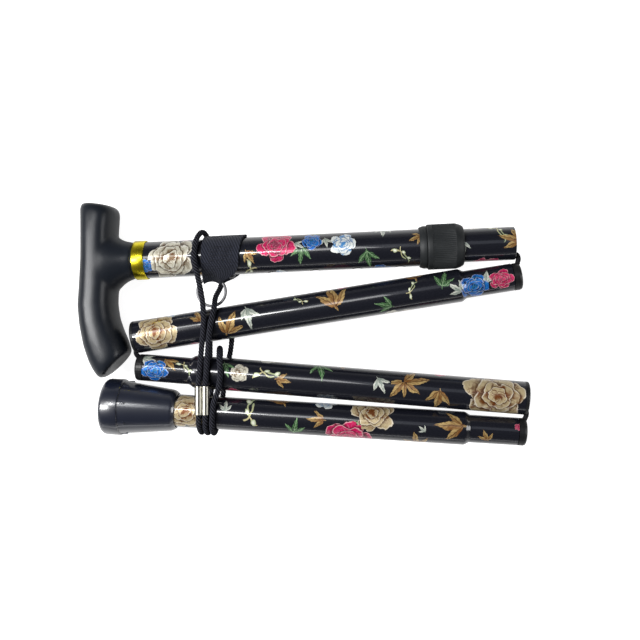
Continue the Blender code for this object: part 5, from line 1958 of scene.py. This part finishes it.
@dataclass
class WristCord:
    """The braided wrist cord, wound round the folded sections and through the split ring."""

    count: int = 320  # points of its line
    left: float = -58.75  # millimetres, where the ferrule's two barrels stand in x
    right: float = -54.65
    front: float = 29.6  # millimetres, the height of both
    relief: float = 0.20  # of the strands, which rise as far over the cord's diameter as they fall below it

    def route(self) -> list[Vector]:
        """Lays the cord from one of the ferrule's barrels round the sections and back into the other.

        Returns:
            The points that it passes.
        """
        left, right, front = self.left, self.right, self.front
        stops = (
            (right, -45.4, front), (right, -37.0, front), (-54.2, -28.6, 29.0),
            (-53.3, -14.5, 28.4), (-51.8, -2.2, 29.3), (-50.4, 7.8, 25.8), (-51.2, 14.8, 17.2),
            (-49.6, 22.1, 8.6), (-50.2, 30.8, 4.2), (-53.6, 40.2, 2.1), (-57.0, 49.2, 4.8),
            (-58.9, 54.2, 16.5), (-60.8, 49.0, 26.4), (-61.2, 38.0, 31.0), (-59.0, 25.5, 29.4),
            (-56.4, 11.5, 29.3), (-55.9, -2.8, 29.2), (-57.2, -15.5, 28.5), (-58.2, -28.6, 29.0),
            (left, -37.0, front), (left, -46.0, front), (left, -54.8, front),
            (-59.0, -61.8, 26.9), (-59.3, -66.6, 17.0), (-59.4, -62.0, 7.1), (-58.6, -54.0, 4.6),
            (-55.6, -42.2, 8.2), (-52.4, -31.0, 4.6), (-49.9, -20.2, 7.6), (-48.6, -15.9, 17.0),
            (-47.2, -20.6, 26.2), (-45.9, -29.5, 29.0), (-47.2, -40.0, 28.4), (-49.9, -47.4, 28.9),
            (-50.6, -54.4, 29.2), (-51.3, -62.6, 26.5), (-51.9, -67.0, 17.0), (-51.7, -62.6, 7.3),
            (-50.2, -54.0, 4.6), (-47.0, -30.8, 4.8), (-44.2, -18.0, 5.2), (-43.4, -8.0, 5.1),
            (-45.2, -1.5, 5.1), (-50.0, 1.2, 5.1), (-54.8, -1.5, 5.1), (-56.8, -8.0, 5.1),
            (-57.0, -18.0, 4.9), (-57.2, -29.5, 4.5), (-57.0, -42.0, 4.2), (-55.1, -54.0, 4.5),
            (-55.3, -62.3, 7.2), (-55.6, -66.9, 17.0), (-55.2, -62.4, 26.5), (right, -54.8, front),
            (right, -50.8, front), (right, -47.0, front),
        )
        return [Vector(stop) * MM for stop in stops]

    def build(self, material: Material, ferrule: Object) -> None:
        """Args:
            material: Its finish.
            ferrule: The ferrule on it; not used.
        """
        points = smooth_route(self.route(), self.count)
        crests = WRIST_CORD_D / (1 - self.relief / 2)
        braid = Braid(crests, 36, 0.35 * MM, strands=5, pitch=10.0 * MM, relief=self.relief, counter=0.3)
        cord = braid.mesh("braided_wrist_cord", points)
        dress(cord, material, Slot.CORD, Body.UPPER, "wrist_cord")


@dataclass(frozen=True)
class Lamp:
    """A soft rectangular lamp."""

    name: str
    place: Place  # its middle, in metres
    aim: Place  # the point that it faces
    size: tuple[float, float]
    power: float  # watts
    colour: Colour = (1.0, 1.0, 1.0)

    def hang(self) -> None:
        """Adds the lamp to the scene."""
        data = bpy.data.lights.new(self.name, "AREA")
        data.shape = "RECTANGLE"
        data.size, data.size_y = self.size
        data.energy = self.power
        data.color = self.colour
        item = bpy.data.objects.new(self.name, data)
        item.matrix_world = aimed(Vector(self.place), Vector(self.aim) - Vector(self.place), "-Z")
        bpy.context.scene.collection.objects.link(item)


@dataclass
class Studio:
    """The camera, the pale floor and the soft light of the photograph."""

    target: Place = (12.05, 1.13, 17.0)  # millimetres
    distance: float = 478.5 * MM
    yaw: float = 4.0  # degrees
    lens: float = 45.0  # millimetres
    floor_seen: float = 0.94  # the floor's glow to the camera
    floor_near: float = 0.38  # its glow in reflections near the cane, and far from it
    floor_far: float = 0.05
    floor_core: Place = (0.15, 0.09, 0.0)  # half the size of what counts as near
    floor_drop: float = 0.15 * MM  # below the ground, so that no flat face lies in it
    lamps: tuple[Lamp, ...] = (
        Lamp("strip", (-0.232, 0.24, 1.0), (-0.05, 0.0, 0.0), (0.15, 0.14), 1.75),
        Lamp("soft", (-0.062, 0.24, 1.0), (0.0, 0.0, 0.0), (0.194, 0.20), 0.62),
        Lamp("pearl", (-0.44, 0.24, 1.0), (-0.12, 0.0, 0.0), (0.26, 0.20), 1.15),
        Lamp("ceiling", (0.12, 0.27, 1.0), (0.05, 0.0, 0.0), (0.80, 0.36), 0.42, (0.80, 0.86, 1.0)),
        Lamp("left", (-0.72, 0.0, 0.86), (-0.13, 0.0, 0.0), (0.15, 0.74), 19.2),
        Lamp("low_line", (0.0, -1.1, 0.14), (0.0, 0.0, 0.02), (1.8, 0.05), 0.7),
        Lamp("right", (1.1, 0.0, 0.6), (0.0, 0.0, 0.0), (0.5, 0.5), 5.0),
    )

    def camera(self) -> None:
        """Adds the camera, which looks down on the folded cane."""
        turn = Matrix.Rotation(math.radians(self.yaw), 4, "Y")
        data = bpy.data.cameras.new("camera")
        data.lens = self.lens
        data.clip_start, data.clip_end = 0.01, 20.0
        item = bpy.data.objects.new("camera", data)
        back = Matrix.Translation((0.0, 0.0, self.distance))
        item.matrix_world = Matrix.Translation(Vector(self.target) * MM) @ turn @ back
        bpy.context.scene.collection.objects.link(item)
        bpy.context.scene.camera = item

    def floor(self) -> None:
        """Adds the floor, which looks white near the cane and keeps a trace of its shadow."""
        deselect()
        bpy.ops.mesh.primitive_plane_add(size=6.0, location=(0.0, 0.0, -self.floor_drop))
        floor = bpy.context.object
        floor.name = "floor"
        bpy.ops.object.transform_apply(location=True, rotation=True, scale=True)
        graph = Graph("pale_floor")
        path = graph.node("ShaderNodeLightPath").outputs
        place = graph.vector("ABSOLUTE", graph.place())
        beyond = graph.vector("MAXIMUM", graph.vector("SUBTRACT", place, self.floor_core), (0.0, 0.0, 0.0))
        apart = graph.node("ShaderNodeVectorMath", {0: beyond}, operation="LENGTH").outputs[1]
        mirrored = graph.total(path["Is Glossy Ray"], path["Is Transmission Ray"])
        near = graph.product(mirrored, graph.span(apart, 0.02, 0.12, self.floor_near, self.floor_far))
        grain = graph.noise(graph.place(), 90.0, 3.0).outputs[0]
        finish = graph.finish(
            Base_Color=graph.mix(grain, (0.33, 0.33, 0.33), (0.37, 0.37, 0.37)),
            Roughness=0.9,
            Emission_Color=(1.0, 1.0, 1.0),
            Emission_Strength=graph.total(graph.product(path["Is Camera Ray"], self.floor_seen), near),
        )
        floor.data.materials.append(finish)

    def world(self) -> None:
        """Makes the surroundings white to the camera, and dim overhead to everything else."""
        bpy.context.scene.world = bpy.data.worlds.new("studio")
        graph = Graph(bpy.context.scene.world, "Background")
        height = graph.parts(graph.node("ShaderNodeTexCoord").outputs["Generated"])[2]
        level = graph.span(height, 0.0, 0.5, 0.35, 0.06)
        seen = graph.node("ShaderNodeLightPath").outputs["Is Camera Ray"]
        graph.finish(Color=(1.0, 1.0, 1.0), Strength=graph.math("MAXIMUM", level, seen))

    def build(self) -> None:
        """Sets up the whole studio."""
        bpy.context.scene.view_settings.view_transform = "Standard"
        self.camera()
        self.floor()
        for lamp in self.lamps:
            lamp.hang()
        self.world()


@dataclass(frozen=True)
class Finishes:
    """The cane's finishes, one material each."""

    handle: Moulding = Moulding((0.0060, 0.0078, 0.0115), (0.0110, 0.0134, 0.0185), 0.34, shine=0.27)
    lock: Moulding = Moulding((0.0085, 0.0100, 0.0110), (0.0180, 0.0200, 0.0215), 0.52)
    bush: Moulding = Moulding((0.0060, 0.0062, 0.0070), (0.0150, 0.0155, 0.0165), 0.36)
    rubber: Moulding = Moulding(
        (0.0050, 0.0070, 0.0160), (0.0085, 0.0110, 0.0220), 0.34, shine=0.55, coat=1.0
    )
    gold: BrightMetal = BrightMetal((0.82, 0.68, 0.030), (0.66, 0.54, 0.030), 0.27)
    steel: BrightMetal = BrightMetal((0.110, 0.110, 0.115), (0.080, 0.080, 0.083), 0.50)
    worn_steel: BrightMetal = BrightMetal((0.30, 0.29, 0.25), (0.16, 0.155, 0.125), 0.30)
    dark_steel: BrightMetal = BrightMetal((0.14, 0.14, 0.15), (0.07, 0.07, 0.075), 0.34)
    # For the webbing, the thread and the cords, the first colour shows in the grooves and is darkened there
    # as painted shade; the second shows on the crests.
    webbing: TwillWebbing = TwillWebbing((0.0032, 0.0037, 0.0062), (0.0300, 0.0330, 0.0470))
    thread: BraidYarn = BraidYarn((0.008, 0.008, 0.011), (0.055, 0.058, 0.070))
    braid: BraidYarn = BraidYarn((0.0002, 0.0002, 0.0004), (0.0560, 0.0580, 0.0760), 5, 10.0 * MM, 0.3)
    elastic: BraidYarn = BraidYarn((0.0020, 0.0020, 0.0026), (0.0240, 0.0240, 0.0290))


def redress_frame(material: Material, *names: str) -> None:
    """Gives CAD nodes that stay their better material.

    Args:
        material: The material.
        names: The nodes.
    """
    for name in names:
        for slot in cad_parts[name].material_slots:
            slot.material = material


def main() -> None:
    """Builds the studio and every sub-assembly in order."""
    logging.basicConfig(level=logging.INFO, format="%(name)s: %(message)s")
    finishes = Finishes()
    Studio().build()
    steel = finishes.steel.material("bright_steel")
    bush = finishes.bush.material("bush_plastic")
    dark_steel = finishes.dark_steel.material("dark_steel")
    elastic = finishes.elastic.material("elastic_cord")
    ferrule = Ferrule().build(finishes.worn_steel.material("worn_steel"))
    WristCord().build(finishes.braid.material("braided_cord"), ferrule)
    Handle().build(finishes.handle.material("handle_plastic"))
    NeckRing().build(finishes.gold.material("gold_anodised"))
    printed = FloralPrint().material("printed_tube")
    UpperTube().build(printed)
    collar = LockCollar()
    lock = finishes.lock.material("lock_plastic")
    collar.build_sleeve(lock)
    collar.build_nut(lock)
    SnapButton().build(dark_steel)
    SnapSpring().build(dark_steel)
    band = WristBand()
    band.build(finishes.webbing.material("webbing"))
    band.sew(finishes.thread.material("stitching"))
    SplitRing().build(steel)
    tubes = (
        LowerTube(1, SHAFT, Body.FIRST, TUBE_1_SPOTS),
        LowerTube(2, SECTION_2, Body.SECOND, TUBE_2_SPOTS),
        LowerTube(3, SECTION_3, Body.THIRD, TUBE_3_SPOTS),
        LowerTube(4, SECTION_4, Body.FOURTH, TUBE_4_SPOTS),
    )
    for tube in tubes:
        tube.build(printed)
    for tube, following, side in zip(tubes, tubes[1:], (-1, 1, -1)):
        ShockCordLoop(tube, following, side).build(elastic)
    RubberTip().build(finishes.rubber.material("tip_rubber"))
    redress_frame(steel, "handle_screw", "tip_washer")
    redress_frame(bush, "top_anchor", "tip_anchor", *(f"mouth_bush_{number}" for number in (1, 2, 3)))
    redress_frame(bush, *(f"cord_plug_{number}" for number in (2, 3, 4)))
    redress_frame(elastic, "top_knot", "tip_knot", *(f"shock_cord_{number}" for number in (1, 2, 3, 4)))


if __name__ == "__main__":
    main()
